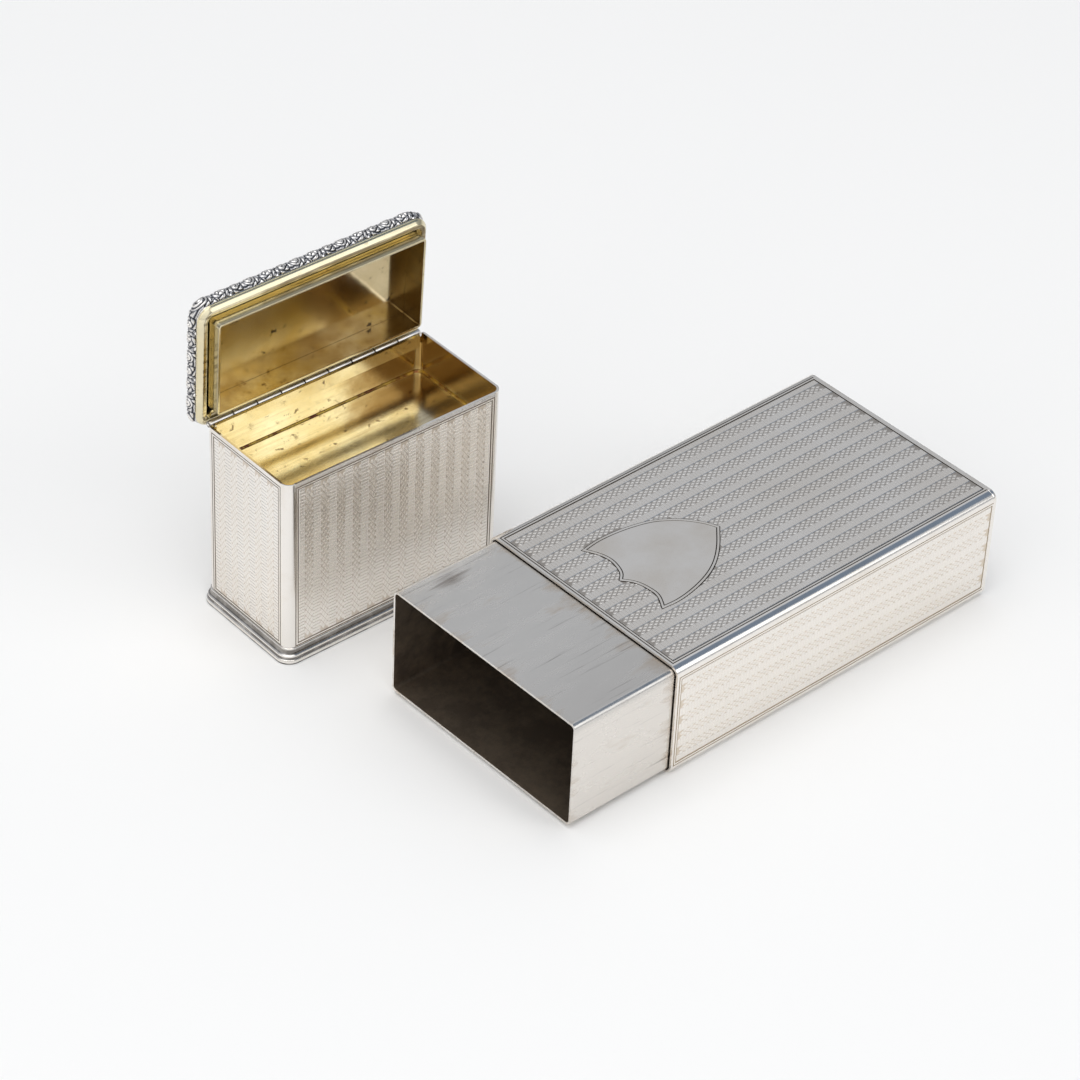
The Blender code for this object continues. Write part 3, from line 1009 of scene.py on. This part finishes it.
def turned_panel(name, place, length, width, body, metal, depth, reserve=None):
    """One engine-turned panel in its engraved frame; place is its face frame."""
    turning = settings().turning
    frame_width = 2 * (2 * turning.line + turning.fillet)
    inner_length, inner_width = length - frame_width, width - frame_width
    bands = int((inner_width - turning.grain_width) / turning.band_pitch)
    grains = int(inner_length / turning.grain_length - 0.5)
    edge_bar = (inner_width - (bands - 1) * turning.band_pitch) / 2 - turning.grain_width
    panel = grown(name, turning_tree(), {
        "Length": inner_length, "Width": inner_width, "Bands": bands, "Grains": grains,
        "Band pitch": turning.band_pitch, "Cut pitch": inner_length / (2 * grains + 1),
        "Grain width": turning.grain_width, "Edge bar": edge_bar,
        "Depth": depth, "Backing": turning.backing, "Line": turning.line,
        "Fillet": turning.fillet, "Reserve": reserve, "Material": metal,
    })
    return settle(panel, place, body, [metal], sharp=1)


def case_faces():
    """The case's faces that carry turning: name, face frame, length, width."""
    sizes, turning, _, _ = settings()
    middle, side = sizes.thickness / 2, sizes.width / 2
    length = sizes.body_length - 2 * turning.end_margin
    return {
        name: (face_matrix(SIDEWAYS, out, place), length, across - 2 * turning.side_margin)
        for name, out, place, across in (
            ("case_top", UPWARDS, (0, 0, sizes.thickness), sizes.width),
            ("case_under", (0, 0, -1), (0, 0, 0), sizes.width),
            ("case_near_side", (0, -1, 0), (0, -side, middle), sizes.thickness),
            ("case_far_side", (0, 1, 0), (0, side, middle), sizes.thickness),
        )
    }


def cap_faces():
    """The cap's faces in the cap's own frame: name, face frame, length, width."""
    sizes, turning, _, _ = settings()
    above_foot, hinge_strip = 0.1 * MM, 1.2 * MM
    low = sizes.foot_height + above_foot
    high = sizes.cap_height - turning.rim_margin
    front, side = sizes.thickness / 2, sizes.width / 2
    return {
        name: (
            face_matrix(UPWARDS, out, (*place, (high + low) / 2 - less / 2)),
            high - low - less, across - 2 * turning.side_margin,
        )
        for name, out, place, less, across in (
            ("cap_front", (0, -1, 0), (0, -front), 0.0, sizes.width),
            ("cap_back", (0, 1, 0), (0, front), hinge_strip, sizes.width),
            ("cap_left", (-1, 0, 0), (-side, 0), 0.0, sizes.thickness),
            ("cap_right", (1, 0, 0), (side, 0), 0.0, sizes.thickness),
        )
    }


# Outline of the reserve in millimetres: two long arcs and two scallops
RESERVE_ARCS = (
    ((-34.7, -11.8), (-30.0, -12.1), (-25.0, -11.4), (-20.0, -9.9), (-15.8, -7.7),
     (-11.7, -4.4), (-7.2, 0.3)),
    ((-7.2, 0.3), (-8.6, 3.4), (-11.7, 7.2), (-15.8, 10.1), (-20.0, 11.6),
     (-25.0, 12.5), (-30.0, 12.7), (-34.6, 12.1)),
    ((-34.6, 12.1), (-32.9, 9.0), (-32.3, 5.8), (-33.3, 2.2), (-35.2, 0.2)),
    ((-35.2, 0.2), (-33.2, -2.5), (-32.5, -5.8), (-32.8, -8.4), (-34.7, -11.8)),
)


def crossing(first, second):
    """Where two open lines cross: the place, and the segment on each line."""
    for i, (a, b) in enumerate(zip(first, first[1:])):
        for j, (c, d) in enumerate(zip(second, second[1:])):
            turn = (b - a).cross(d - c)
            if abs(turn) < 1e-18:  # they run side by side
                continue
            along = (c - a).cross(d - c) / turn
            across = (c - a).cross(b - a) / turn
            if 0 <= along <= 1 and 0 <= across <= 1:
                return a + along * (b - a), i, j
    raise ValueError("the reserve's arcs don't meet")


def reserve_outline(inset, steps=36):
    """Outline of the reserve, moved inwards."""
    lines = []
    reach = 0.05 * MM  # each arc runs this far past its ends, so that neighbours cross
    for arc in RESERVE_ARCS:
        line = smooth_profile([(x * MM, y * MM) for x, y in arc], steps=8)
        ways = [(b - a).normalized() for a, b in zip(line, line[1:])]
        ways = [ways[0]] + [(a + b).normalized() for a, b in zip(ways, ways[1:])] + [ways[-1]]
        moved = [point + inset * Vector((-way.y, way.x)) for point, way in zip(line, ways)]
        lines.append([moved[0] - reach * ways[0]] + moved + [moved[-1] + reach * ways[-1]])
    joints = [crossing(line, after) for line, after in zip(lines, lines[1:] + lines[:1])]
    outline = []
    for line, (start, _, first), (end, last, _) in zip(lines, joints[-1:] + joints, joints):
        arc = [start] + line[first + 1:last + 1] + [end]
        lengths = np.cumsum([0.0] + [(b - a).length for a, b in zip(arc, arc[1:])])
        even = np.linspace(0, lengths[-1], steps, endpoint=False)
        places = (np.interp(even, lengths, [point[axis] for point in arc]) for axis in (0, 1))
        outline += [Vector(place) for place in zip(*places)]
    return outline


def ringed_plate(name, rings):
    """A plate whose surface follows rings of (inset, height) to a flat middle."""
    bm = bmesh.new()
    loops = [
        [bm.verts.new((*point, height * MM)) for point in reserve_outline(inset * MM)]
        for inset, height in rings
    ]
    for outer, inner in zip(loops, loops[1:]):
        for index in range(len(outer)):
            after = (index + 1) % len(outer)
            bm.faces.new((outer[index], outer[after], inner[after], inner[index]))
    bm.faces.new(loops[-1])
    return piece_from(bm, name)


# ----------------------------------------------------------------- operators


class CASE_OT_body_sheet(bpy.types.Operator):
    """Build the case's drawn body with pockets for its turned panels"""

    bl_idname = "case.body_sheet"
    bl_label = "Case Body"

    def execute(self, context):
        sizes, turning, _, _ = settings()
        half = sizes.body_length / 2
        wall = sleeve(
            "case_sheet", sizes.width, sizes.thickness, -half,
            half - sizes.end_plate - CLEAR, sizes.edge_radius, sizes.sheet,
        )
        wall.data.transform(laid_down())
        cut_pockets(wall, case_faces().values(), turning.depth + turning.backing)
        break_edges(wall, sizes.edge_break)
        settle(
            wall, Matrix.Identity(4), "case", [hand_polished_silver(), dark_inside()],
            ["case_wall"], flat=True,
        )
        return {"FINISHED"}


class CASE_OT_case_turning(bpy.types.Operator):
    """Build the engine-turned panels of the case and the bare reserve"""

    bl_idname = "case.case_turning"
    bl_label = "Case Turning"

    def execute(self, context):
        for name, (place, length, width) in case_faces().items():
            # The broad faces take the darker turned silver; the sides take a paler copy, painted
            # sheen.
            broad = name in ("case_top", "case_under")
            turned_panel(
                name + "_turning", place, length, width, "case",
                rose_engine_silver() if broad else worn_rose_engine_silver(),
                settings().turning.depth,
                ringed_plate("clearing", [(0.3, 0.0)]) if name == "case_top" else None,
            )
        # Two raised lines, 0.07 mm proud, round the bare middle
        reserve = ringed_plate("case_reserve", (
            (0.0, -0.083), (0.0, 0.0), (0.16, 0.0), (0.19, 0.07), (0.62, 0.07),
            (0.65, 0.0), (0.82, 0.0), (0.85, 0.07), (1.1, 0.07),
        ))
        settle(
            reserve, case_faces()["case_top"][0], "case", [reserve_silver()],
            sharp=25,
        )
        return {"FINISHED"}


class CASE_OT_neck(bpy.types.Operator):
    """Build the neck that the cap slides over"""

    bl_idname = "case.neck"
    bl_label = "Neck"

    def execute(self, context):
        sizes = settings().sizes
        inset = sizes.sheet + sizes.seam
        mouth = -sizes.body_length / 2
        neck = sleeve(
            "neck", sizes.width - 2 * inset, sizes.thickness - 2 * inset,
            mouth - sizes.neck_length, mouth + sizes.neck_grip,
            sizes.edge_radius - inset, sizes.sheet,
        )
        break_edges(neck, sizes.edge_break, degrees=60)
        settle(
            neck, laid_down(), "case", [rubbed_silver(), dark_inside()], ["neck_liner"],
            flat=True,
        )
        return {"FINISHED"}


class CASE_OT_case_end(bpy.types.Operator):
    """Build the case's closed end"""

    bl_idname = "case.case_end"
    bl_label = "Case End"

    def execute(self, context):
        sizes, turning, _, _ = settings()
        half = sizes.body_length / 2
        plate = piece_from(rounded_block(
            sizes.width, sizes.thickness, half - sizes.end_plate, half, sizes.edge_radius,
            segments=16,
        ), "case_end")
        plate.data.transform(laid_down())
        place = face_matrix((0, 1, 0), SIDEWAYS, (half, 0, sizes.thickness / 2))
        length = sizes.width - 2 * turning.side_margin
        width = sizes.thickness - 2 * turning.side_margin
        cut_pockets(plate, [(place, length, width)], turning.depth + turning.backing)
        break_edges(plate, 3 * sizes.edge_break)
        settle(
            plate, Matrix.Identity(4), "case", [hand_polished_silver()],
            ["case_end_plate"], flat=True,
        )
        turned_panel(
            "case_end_turning", place, length, width, "case", rose_engine_silver(), turning.depth,
        )
        return {"FINISHED"}


class CASE_OT_cap_sheet(bpy.types.Operator):
    """Build the cap's drawn body with its turned panels"""

    bl_idname = "case.cap_sheet"
    bl_label = "Cap Body"

    def execute(self, context):
        sizes, turning, _, _ = settings()
        wall = sleeve(
            "cap_sheet", sizes.width, sizes.thickness, 0, sizes.cap_height,
            sizes.edge_radius, sizes.sheet,
        )
        cut_pockets(wall, cap_faces().values(), turning.cap_depth + turning.backing)
        cut_hinge_room(wall, sizes.cap_height)
        break_edges(wall, sizes.edge_break)
        settle(
            wall, cap_matrix(), "cap", [hand_polished_silver(), compartment_gilt()],
            ["cap_wall"], flat=True,
        )
        for name, (place, length, width) in cap_faces().items():
            turned_panel(
                name + "_turning", cap_matrix() @ place, length, width, "cap",
                filmed_rose_engine_silver(), turning.cap_depth,
            )
        return {"FINISHED"}


class CASE_OT_foot(bpy.types.Operator):
    """Build the stepped moulding round the cap's mouth"""

    bl_idname = "case.foot"
    bl_label = "Foot Moulding"

    def execute(self, context):
        sizes = settings().sizes
        # Shares of the moulding's projection and height, from the floor up
        shares = [(0.96, 0.0), (1.0, 0.025), (1.0, 0.21), (0.97, 0.24)]
        for flowing in (
            ((0.84, 0.245), (0.70, 0.27), (0.62, 0.33), (0.60, 0.40)),
            ((0.62, 0.41), (0.72, 0.45), (0.74, 0.50), (0.70, 0.55), (0.58, 0.58)),
            ((0.52, 0.585), (0.36, 0.62), (0.24, 0.70), (0.19, 0.80), (0.18, 0.88)),
        ):
            shares += smooth_profile(flowing)
        shares += [(0.20, 0.90), (0.22, 0.94), (0.20, 0.985), (0.14, 1.0), (0, 1.0), (0, 0)]
        foot = swept_ring(
            "foot", sizes.width, sizes.thickness, sizes.edge_radius,
            [(sizes.foot_projection * out, sizes.foot_height * up) for out, up in shares],
            foot_silver(),
        )
        settle(
            foot, cap_matrix(), "cap", [foot_silver()], ["foot_moulding"],
            sharp=40,
        )
        return {"FINISHED"}


class CASE_OT_compartment(bpy.types.Operator):
    """Dress the compartment's floor and run its solder"""

    bl_idname = "case.compartment"
    bl_label = "Compartment"

    def execute(self, context):
        sizes = settings().sizes
        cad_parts["compartment_floor"].data.materials[0] = compartment_gilt()
        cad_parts["cap_hinge_bearer"].data.materials[0] = fire_gilt_silver()
        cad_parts["lid_hinge_bearer"].data.materials[0] = rubbed_gilt()
        top = sizes.cap_height - sizes.compartment_depth
        run, sink = 0.45 * MM, 0.1 * MM
        hollow = smooth_profile([(0.0, run), (-0.3 * run, 0.3 * run), (-run, 0.0)])
        profile = [(out, top + up) for out, up in hollow] + [(-run, top - sink), (0, top - sink)]
        solder = swept_ring(
            "floor_solder", sizes.width - 2 * sizes.sheet, sizes.thickness - 2 * sizes.sheet,
            sizes.edge_radius - sizes.sheet, profile, burnt_solder(),
        )
        settle(solder, cap_matrix(), "cap", [burnt_solder()])
        return {"FINISHED"}


def knuckle_pitch():
    """Distance from one knuckle to the next."""
    sizes, _, hinge, _ = settings()
    return (sizes.width - 2 * hinge.end_inset) / hinge.knuckles


class CASE_OT_hinge(bpy.types.Operator):
    """Build the hinge's knuckles and dress its pin"""

    bl_idname = "case.hinge"
    bl_label = "Hinge"

    def execute(self, context):
        hinge, pitch = settings().hinge, knuckle_pitch()
        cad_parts["hinge_pin"].data.materials[0] = hand_polished_silver()
        axis = cap_matrix() @ Matrix.Translation(hinge_axis())
        for body, count in (("cap", (hinge.knuckles + 1) // 2), ("lid", hinge.knuckles // 2)):
            row = grown(body + "_knuckles", knuckle_tree(), {
                "Count": count, "Pitch": 2 * pitch, "Length": pitch - hinge.clearance,
                "Radius": hinge.radius, "Bore": hinge.bore, "Rounding": hinge.rounding,
                "Material": knuckle_silver(),
            })
            names = [f"{body}_knuckle_{number + 1}" for number in range(count)]
            settle(row, axis, body, [knuckle_silver()], names, sharp=50)
        return {"FINISHED"}


class CASE_OT_lid_inside(bpy.types.Operator):
    """Build the lid's bezel and bevelled frame, and dress its plate"""

    bl_idname = "case.lid_inside"
    bl_label = "Lid Inside"

    def execute(self, context):
        sizes, _, _, border = settings()
        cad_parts["lid_plate"].data.materials[0] = gilt_mirror()
        top = border.inner_height - CLEAR
        bezel = sleeve(
            "bezel", sizes.width - 2 * border.bezel_inset,
            sizes.thickness - border.bezel_inset - border.bezel_setback,
            -border.bezel_drop, top, border.bezel_radius, border.bezel_sheet, segments=8,
        )
        aside = (border.bezel_inset - border.bezel_setback) / 2
        bezel.data.transform(Matrix.Translation((0, aside, 0)))
        break_edges(bezel, 0.05 * MM, degrees=60)
        settle(
            bezel, lid_matrix(), "lid", [rubbed_gilt(), amber_gilt()], ["lid_bezel"],
            flat=True,
        )

        # Millimetres out from the lid's outline and up from the frame's foot
        bead_top = 1.38
        bevel = [
            (0.26, 0.0), (0.33, 0.03), (0.60, 0.30), (0.85, 0.56), (1.10, 0.83), (1.13, 0.90),
        ]
        bead = smooth_profile([
            (1.06, 0.93), (1.04, 1.00), (1.12, 1.05), (1.17, 1.16), (1.14, 1.28),
            (1.02, bead_top),
        ], steps=4)
        low, over = sizes.seam, sizes.sheet - sizes.seam
        foot, step, back = -0.6 * MM, low + 1.0 * MM, -1.2 * MM
        profile = [(foot, low)]
        profile += [(out * MM, low + up * MM) for out, up in [*bevel, *bead]]
        profile += [
            (over, low + bead_top * MM), (over, top), (back, top), (back, step), (foot, step),
        ]
        bevelled = swept_ring(
            "lid_bevel", sizes.width, sizes.thickness, sizes.edge_radius, profile, rubbed_gilt(),
        )
        cut_hinge_room(bevelled, 0)
        settle(bevelled, lid_matrix(), "lid", [rubbed_gilt()], ["lid_frame"])
        return {"FINISHED"}


def border_section():
    """The border's cross-section: its crown, sunk by the relief, and its back."""
    sizes, _, _, border = settings()
    overlap, rise, reach, behind = 0.15 * MM, 1.0 * MM, 1.9 * MM, 2.0 * MM
    foot = border.frame_height - overlap
    plate_top = border.inner_height + border.lid_sheet + sizes.seam
    crown = plate_top + rise
    # Shares of the crown's reach and height, from the frame up and inwards
    shares = (
        (0.53, 0.0), (0.84, 0.12), (0.98, 0.40), (0.962, 0.64), (0.80, 0.83),
        (0.52, 0.953), (0.18, 0.993), (-0.40, 0.94), (-1.0, 0.66),
    )
    crest = [(reach * out, foot + (crown - foot) * up) for out, up in shares]
    line = smooth_profile(crest, steps=6)
    sunk = []
    for index, point in enumerate(line):
        before, after = line[max(index - 1, 0)], line[min(index + 1, len(line) - 1)]
        way = (after - before).normalized()
        sunk.append(point - border.relief * Vector((way.y, -way.x)))
    back = ((-behind, plate_top), (sizes.sheet, plate_top), (sizes.sheet, foot))
    return sunk, [Vector(point) for point in back]


def dome(distance, reach):
    """Height of a round back over its middle line, from 0 to 1."""
    return np.sqrt(np.clip(1 - (distance / reach) ** 2, 0, None))


def engraved(phase, pitch, width):
    """Engraved lines at a pitch in millimetres: 1 in a line, 0 beside it."""
    away = np.abs(phase / pitch - np.round(phase / pitch)) * pitch
    return np.exp(-(away / width) ** 2)


# Millimetres along and up, radius, hand (0 for a flower) and turn
SWIRLS = (
    (2.5, 1.80, 2.30, 1, 0.4), (7.1, 2.05, 1.90, 0, 0.2), (10.4, 1.60, 1.70, -1, 2.6),
    (5.0, 4.60, 1.70, -1, 2.2), (9.2, 4.90, 1.60, 1, 0.3), (0.6, 5.00, 1.90, -1, 1.0),
    (4.9, 0.00, 0.95, -1, 0.8), (8.7, 0.00, 0.80, 1, 2.0),
)


def swirl(x, y, radius, hand, turn):
    """A scroll with a fringe of leaves, or a flower when hand is 0: relief 0 to 1."""
    reach = np.hypot(x, y)
    angle = np.arctan2(y, x) - turn
    core, winding, boss, petals, veins = radius * 0.60, 0.66, 0.42, 5, 20
    if hand:
        wound = engraved(reach + hand * winding * angle / (2 * math.pi), winding, 0.13)
        inner = 0.74 + 0.26 * dome(reach, core) - 0.78 * wound * (reach > 0.25)
    else:
        clear = np.clip(reach, 0.1, None)
        petal = engraved(angle * reach * petals / (2 * math.pi) / clear, 1.0, 0.10)
        vein = engraved(angle * veins / (2 * math.pi), 1.0, 0.14)
        inner = 0.95 - 0.70 * petal - 0.25 * vein * (reach > boss + 0.03)
        inner = np.where(reach < boss, 0.45 + 0.55 * dome(reach, boss), inner)
    leaves = max(4, round(radius * 3.6))
    swept = angle + (hand or 1) * 1.2 * np.clip(reach / radius - 0.55, 0, None) ** 0.8
    phase = swept * leaves / (2 * math.pi)
    lobe = engraved(phase, 1.0, 0.13)
    rib = engraved(phase + 0.5, 1.0, 0.07)
    round_back = 0.5 - 0.5 * np.cos(2 * math.pi * phase)
    outer = 0.50 + 0.38 * round_back - 0.60 * lobe - 0.30 * rib
    ring = np.exp(-((reach - core) / 0.14) ** 2)
    return np.where(reach < core, inner, outer) - 0.50 * ring


def ornament(x, y, length, width):
    """Relief of one repeat, from 0 to 1: close-set scrolls, flowers and leaves."""
    nearest = np.full(x.shape, 1e3)
    second = np.full(x.shape, 1e3)
    relief = np.zeros_like(x)
    for centre_x, centre_y, radius, hand, turn in SWIRLS:
        for shift in (-length, 0.0, length):
            across, up = x - centre_x - shift, y - centre_y
            share = np.hypot(across, up) / radius
            closer = share < nearest
            second = np.where(closer, nearest, np.minimum(second, share))
            relief = np.where(closer, swirl(across, up, radius, hand, turn), relief)
            nearest = np.where(closer, share, nearest)
    between = np.exp(-((second - nearest) / 0.10) ** 2)
    swell = 1.0 - 0.40 * np.clip(nearest, 0, 1.3) ** 2
    relief = np.clip(relief * swell - 0.55 * between, 0.05, 1)
    return relief * np.clip((width - y) / 0.35, 0, 1)


def recess(relief, spread):
    """How far each spot stands over its surroundings: low where oxide stays."""
    around = np.zeros_like(relief)
    total = 0.0
    padded = np.pad(relief, ((spread, spread), (0, 0)), mode="edge")
    for shift_y in range(-spread, spread + 1):
        for shift_x in range(-spread, spread + 1):
            weight = math.exp(-2.0 * (shift_x ** 2 + shift_y ** 2) / spread ** 2)
            rows = padded[spread + shift_y:spread + shift_y + relief.shape[0], :-1]
            rolled = np.roll(rows, shift_x, axis=1)
            around += weight * np.concatenate([rolled, rolled[:, :1]], axis=1)
            total += weight
    return relief - around / total


def border_unit(crown_length, steps, total, unit_length):
    """One repeat of the border laid flat: x along, y round the section, z its relief."""
    columns, near, far = 102, 46, 14  # faces along, on the outer crown and on the rest
    reach, rim = 4.6 * MM, 0.2
    levels = [reach * row / near for row in range(near + 1)]
    levels += [reach + (crown_length - reach) * row / far for row in range(1, far + 1)]
    shares = [level / total for level in levels]
    for step in steps:
        shares.append(shares[-1] + step / total)
    width = crown_length / MM
    across = np.arange(columns + 1) / columns
    grid_x, grid_y = np.meshgrid(
        np.linspace(0, unit_length, columns + 1), np.array(shares) * total / MM
    )
    relief = np.where(grid_y > width, 0, ornament(grid_x, grid_y, unit_length, width))
    # What is high, or stands over its surroundings, is rubbed bright; so is the rim
    bright = np.clip(0.22 + 0.45 * relief + 0.75 * recess(relief, spread=5), 0, 1)
    bright = np.where(grid_y > width - rim, 0.8, bright)
    flat_x, flat_y = np.meshgrid(across, np.minimum(shares, 1.0))
    points = np.stack([flat_x, flat_y, settings().border.relief * relief], axis=-1).reshape(-1, 3)
    low = (np.arange(len(shares) - 1)[:, None] * (columns + 1) + np.arange(columns)).ravel()
    faces = np.stack([low, low + 1, low + columns + 2, low + columns + 1], axis=-1)
    mesh = bpy.data.meshes.new("border_unit")
    mesh.from_pydata(points.tolist(), [], faces.tolist())
    mesh.attributes.new("relief", "FLOAT", "POINT").data.foreach_set("value", bright.ravel())
    return link("border_unit", mesh)


class CASE_OT_lid_border(bpy.types.Operator):
    """Build the cast border of flowers and scrolls round the lid"""

    bl_idname = "case.lid_border"
    bl_label = "Cast Border"

    def execute(self, context):
        sizes, _, _, border = settings()
        crown, back = border_section()
        outline = crown + back
        path = corner_path(sizes.width, sizes.thickness, sizes.edge_radius, segments=24)
        steps, path_steps = (
            [(after - before).length for before, after in zip(line, line[1:] + line[:1])]
            for line in (outline, path)
        )
        last = len(crown) - 1
        ring = grown("border", wrap_tree(), {
            "Unit": border_unit(
                sum(steps[:last]), steps[last:], sum(steps), sum(path_steps) / border.repeat / MM,
            ),
            "Path": flat_curve("border_path", path),
            "Section": flat_curve("border_section", outline),
            "Repeats": border.repeat, "Merge": 0.004 * MM, "Material": oxidised_cast_silver(),
        })
        settle(
            ring, lid_matrix(), "lid", [oxidised_cast_silver()], ["lid_border"],
            sharp=60,
        )
        return {"FINISHED"}


class CASE_OT_lid_outside(bpy.types.Operator):
    """Build the engine-turned panel on the lid's outer face"""

    bl_idname = "case.lid_outside"
    bl_label = "Lid Outside"

    def execute(self, context):
        sizes, turning, _, border = settings()
        level = border.inner_height + border.lid_sheet + turning.cap_depth + turning.backing
        place = lid_matrix() @ face_matrix(SIDEWAYS, UPWARDS, (0, 0, level))
        edge = 2 * turning.lid_margin
        turned_panel(
            "lid_turning", place, sizes.width - edge, sizes.thickness - edge, "lid",
            filmed_rose_engine_silver(), turning.cap_depth,
        )
        return {"FINISHED"}


# Brightness of the studio by its height over the floor, and the lamps' places,
# sizes and watts
SKY = (
    (0.0, 0.85), (0.08, 0.60), (0.20, 0.33), (0.40, 0.38), (0.62, 0.54), (0.80, 0.70),
    (0.90, 1.0), (1.0, 1.15),
)
COOL = (0.97, 1.0, 1.06)
LAMP_AIM = Vector((0, 0.02, 0.02))
LAMPS = (
    ("overhead", (-0.10, 0.05, 1.30), (0.9, 0.9), 3.6),
    ("front_box", (-0.85, -0.75, 0.95), (1.8, 1.8), 5.6),
    ("right_box", (0.66, -1.19, 0.86), (0.74, 0.98), 2.55),
    ("left_box", (-1.35, 0.15, 0.65), (1.2, 1.1), 2.6),
)


class CASE_OT_stage(bpy.types.Operator):
    """Set up the paper floor, the soft lights, the sky and the camera"""

    bl_idname = "case.stage"
    bl_label = "Stage"

    def execute(self, context):
        scene = context.scene
        bm = bmesh.new()
        bmesh.ops.create_grid(bm, x_segments=1, y_segments=1, size=3.0)
        floor = piece_from(bm, "floor")
        floor.data.materials.append(floor_paper())

        scene.world = bpy.data.worlds.new("studio")
        scene.world.use_nodes = True
        add = partial(add_node, scene.world.node_tree)
        direction = add("TexCoord", out="Generated")
        # White at both ends and a little cool between them
        sky = add("ValToRGB", add("SeparateXYZ", direction, out="Z"), stops=[
            (height, value if height in (0.0, 1.0) else tuple(value * part for part in COOL))
            for height, value in SKY
        ])
        # A dark screen that the case's long edge mirrors
        screen_way = Vector((0.60, -0.15, 0.79))
        toward = add("VectorMath DOT_PRODUCT", direction, screen_way, out="Value")
        screen = add("MapRange", toward, 0.905, 0.95, 0.0, 0.97)
        seen = add("LightPath", out="Is Camera Ray")
        sky = layered(add, sky, (screen, (0.16, 0.21, 0.29)), (seen, 1.0))
        fill(scene.world.node_tree.nodes["Background"], {"Color": sky, "Strength": 1.0})

        for name, place, size, power in LAMPS:
            lamp = bpy.data.lights.new(name, "AREA")
            lamp.shape = "RECTANGLE"
            lamp.size, lamp.size_y = size
            lamp.energy = power
            holder = link(name, lamp)
            holder.location = place
            aim = LAMP_AIM - Vector(place)
            holder.rotation_euler = aim.to_track_quat("-Z", "Y").to_euler()

        camera = bpy.data.cameras.new("camera")
        camera.lens = CAMERA_LENS
        camera.sensor_width = 36.0
        camera.clip_start = 0.01
        scene.camera = link("camera", camera)
        scene.camera.matrix_world = (
            Matrix.Translation(CAMERA_PLACE) @ Matrix.Rotation(-CAMERA_AZIMUTH, 4, "Z")
            @ Matrix.Rotation(math.pi / 2 - CAMERA_DROP, 4, "X")
            @ Matrix.Rotation(CAMERA_ROLL, 4, "Z")
        )
        scene.view_settings.view_transform = "Standard"
        return {"FINISHED"}


OPERATORS = (
    CASE_OT_body_sheet, CASE_OT_case_turning, CASE_OT_neck, CASE_OT_case_end,
    CASE_OT_cap_sheet, CASE_OT_foot, CASE_OT_compartment, CASE_OT_hinge,
    CASE_OT_lid_inside, CASE_OT_lid_border, CASE_OT_lid_outside, CASE_OT_stage,
)
GROUPS = (
    (CaseSizes, "case_sizes"), (TurningSizes, "turning_sizes"),
    (HingeSizes, "hinge_sizes"), (BorderSizes, "border_sizes"), (CaseColours, "case_colours"),
)


class CASE_PT_panel(bpy.types.Panel):
    """Sizes, colours and steps of the case"""

    bl_idname = "CASE_PT_panel"
    bl_label = "Cheroot and Vesta Case"
    bl_space_type = "VIEW_3D"
    bl_region_type = "UI"
    bl_category = "Case"

    def draw(self, context):
        layout = self.layout
        for _, name in GROUPS:
            group = getattr(context.scene, name)
            box = layout.box()
            for key in group.bl_rna.properties.keys():
                if key not in ("rna_type", "name"):
                    box.prop(group, key)
        for operator in OPERATORS:
            layout.operator(operator.bl_idname)


def register():
    """Register the settings, the operators and the panel."""
    for group, name in GROUPS:
        bpy.utils.register_class(group)
        setattr(bpy.types.Scene, name, bpy.props.PointerProperty(type=group))
    for operator in OPERATORS:
        bpy.utils.register_class(operator)
    bpy.utils.register_class(CASE_PT_panel)


def unregister():
    """Take the settings, the operators and the panel away."""
    bpy.utils.unregister_class(CASE_PT_panel)
    for operator in reversed(OPERATORS):
        bpy.utils.unregister_class(operator)
    for group, name in reversed(GROUPS):
        delattr(bpy.types.Scene, name)
        bpy.utils.unregister_class(group)


def main():
    """Register the add-on and build every piece in turn."""
    register()
    for operator in OPERATORS:
        area, action = operator.bl_idname.split(".")
        getattr(getattr(bpy.ops, area), action)()


if __name__ == "__main__":
    main()
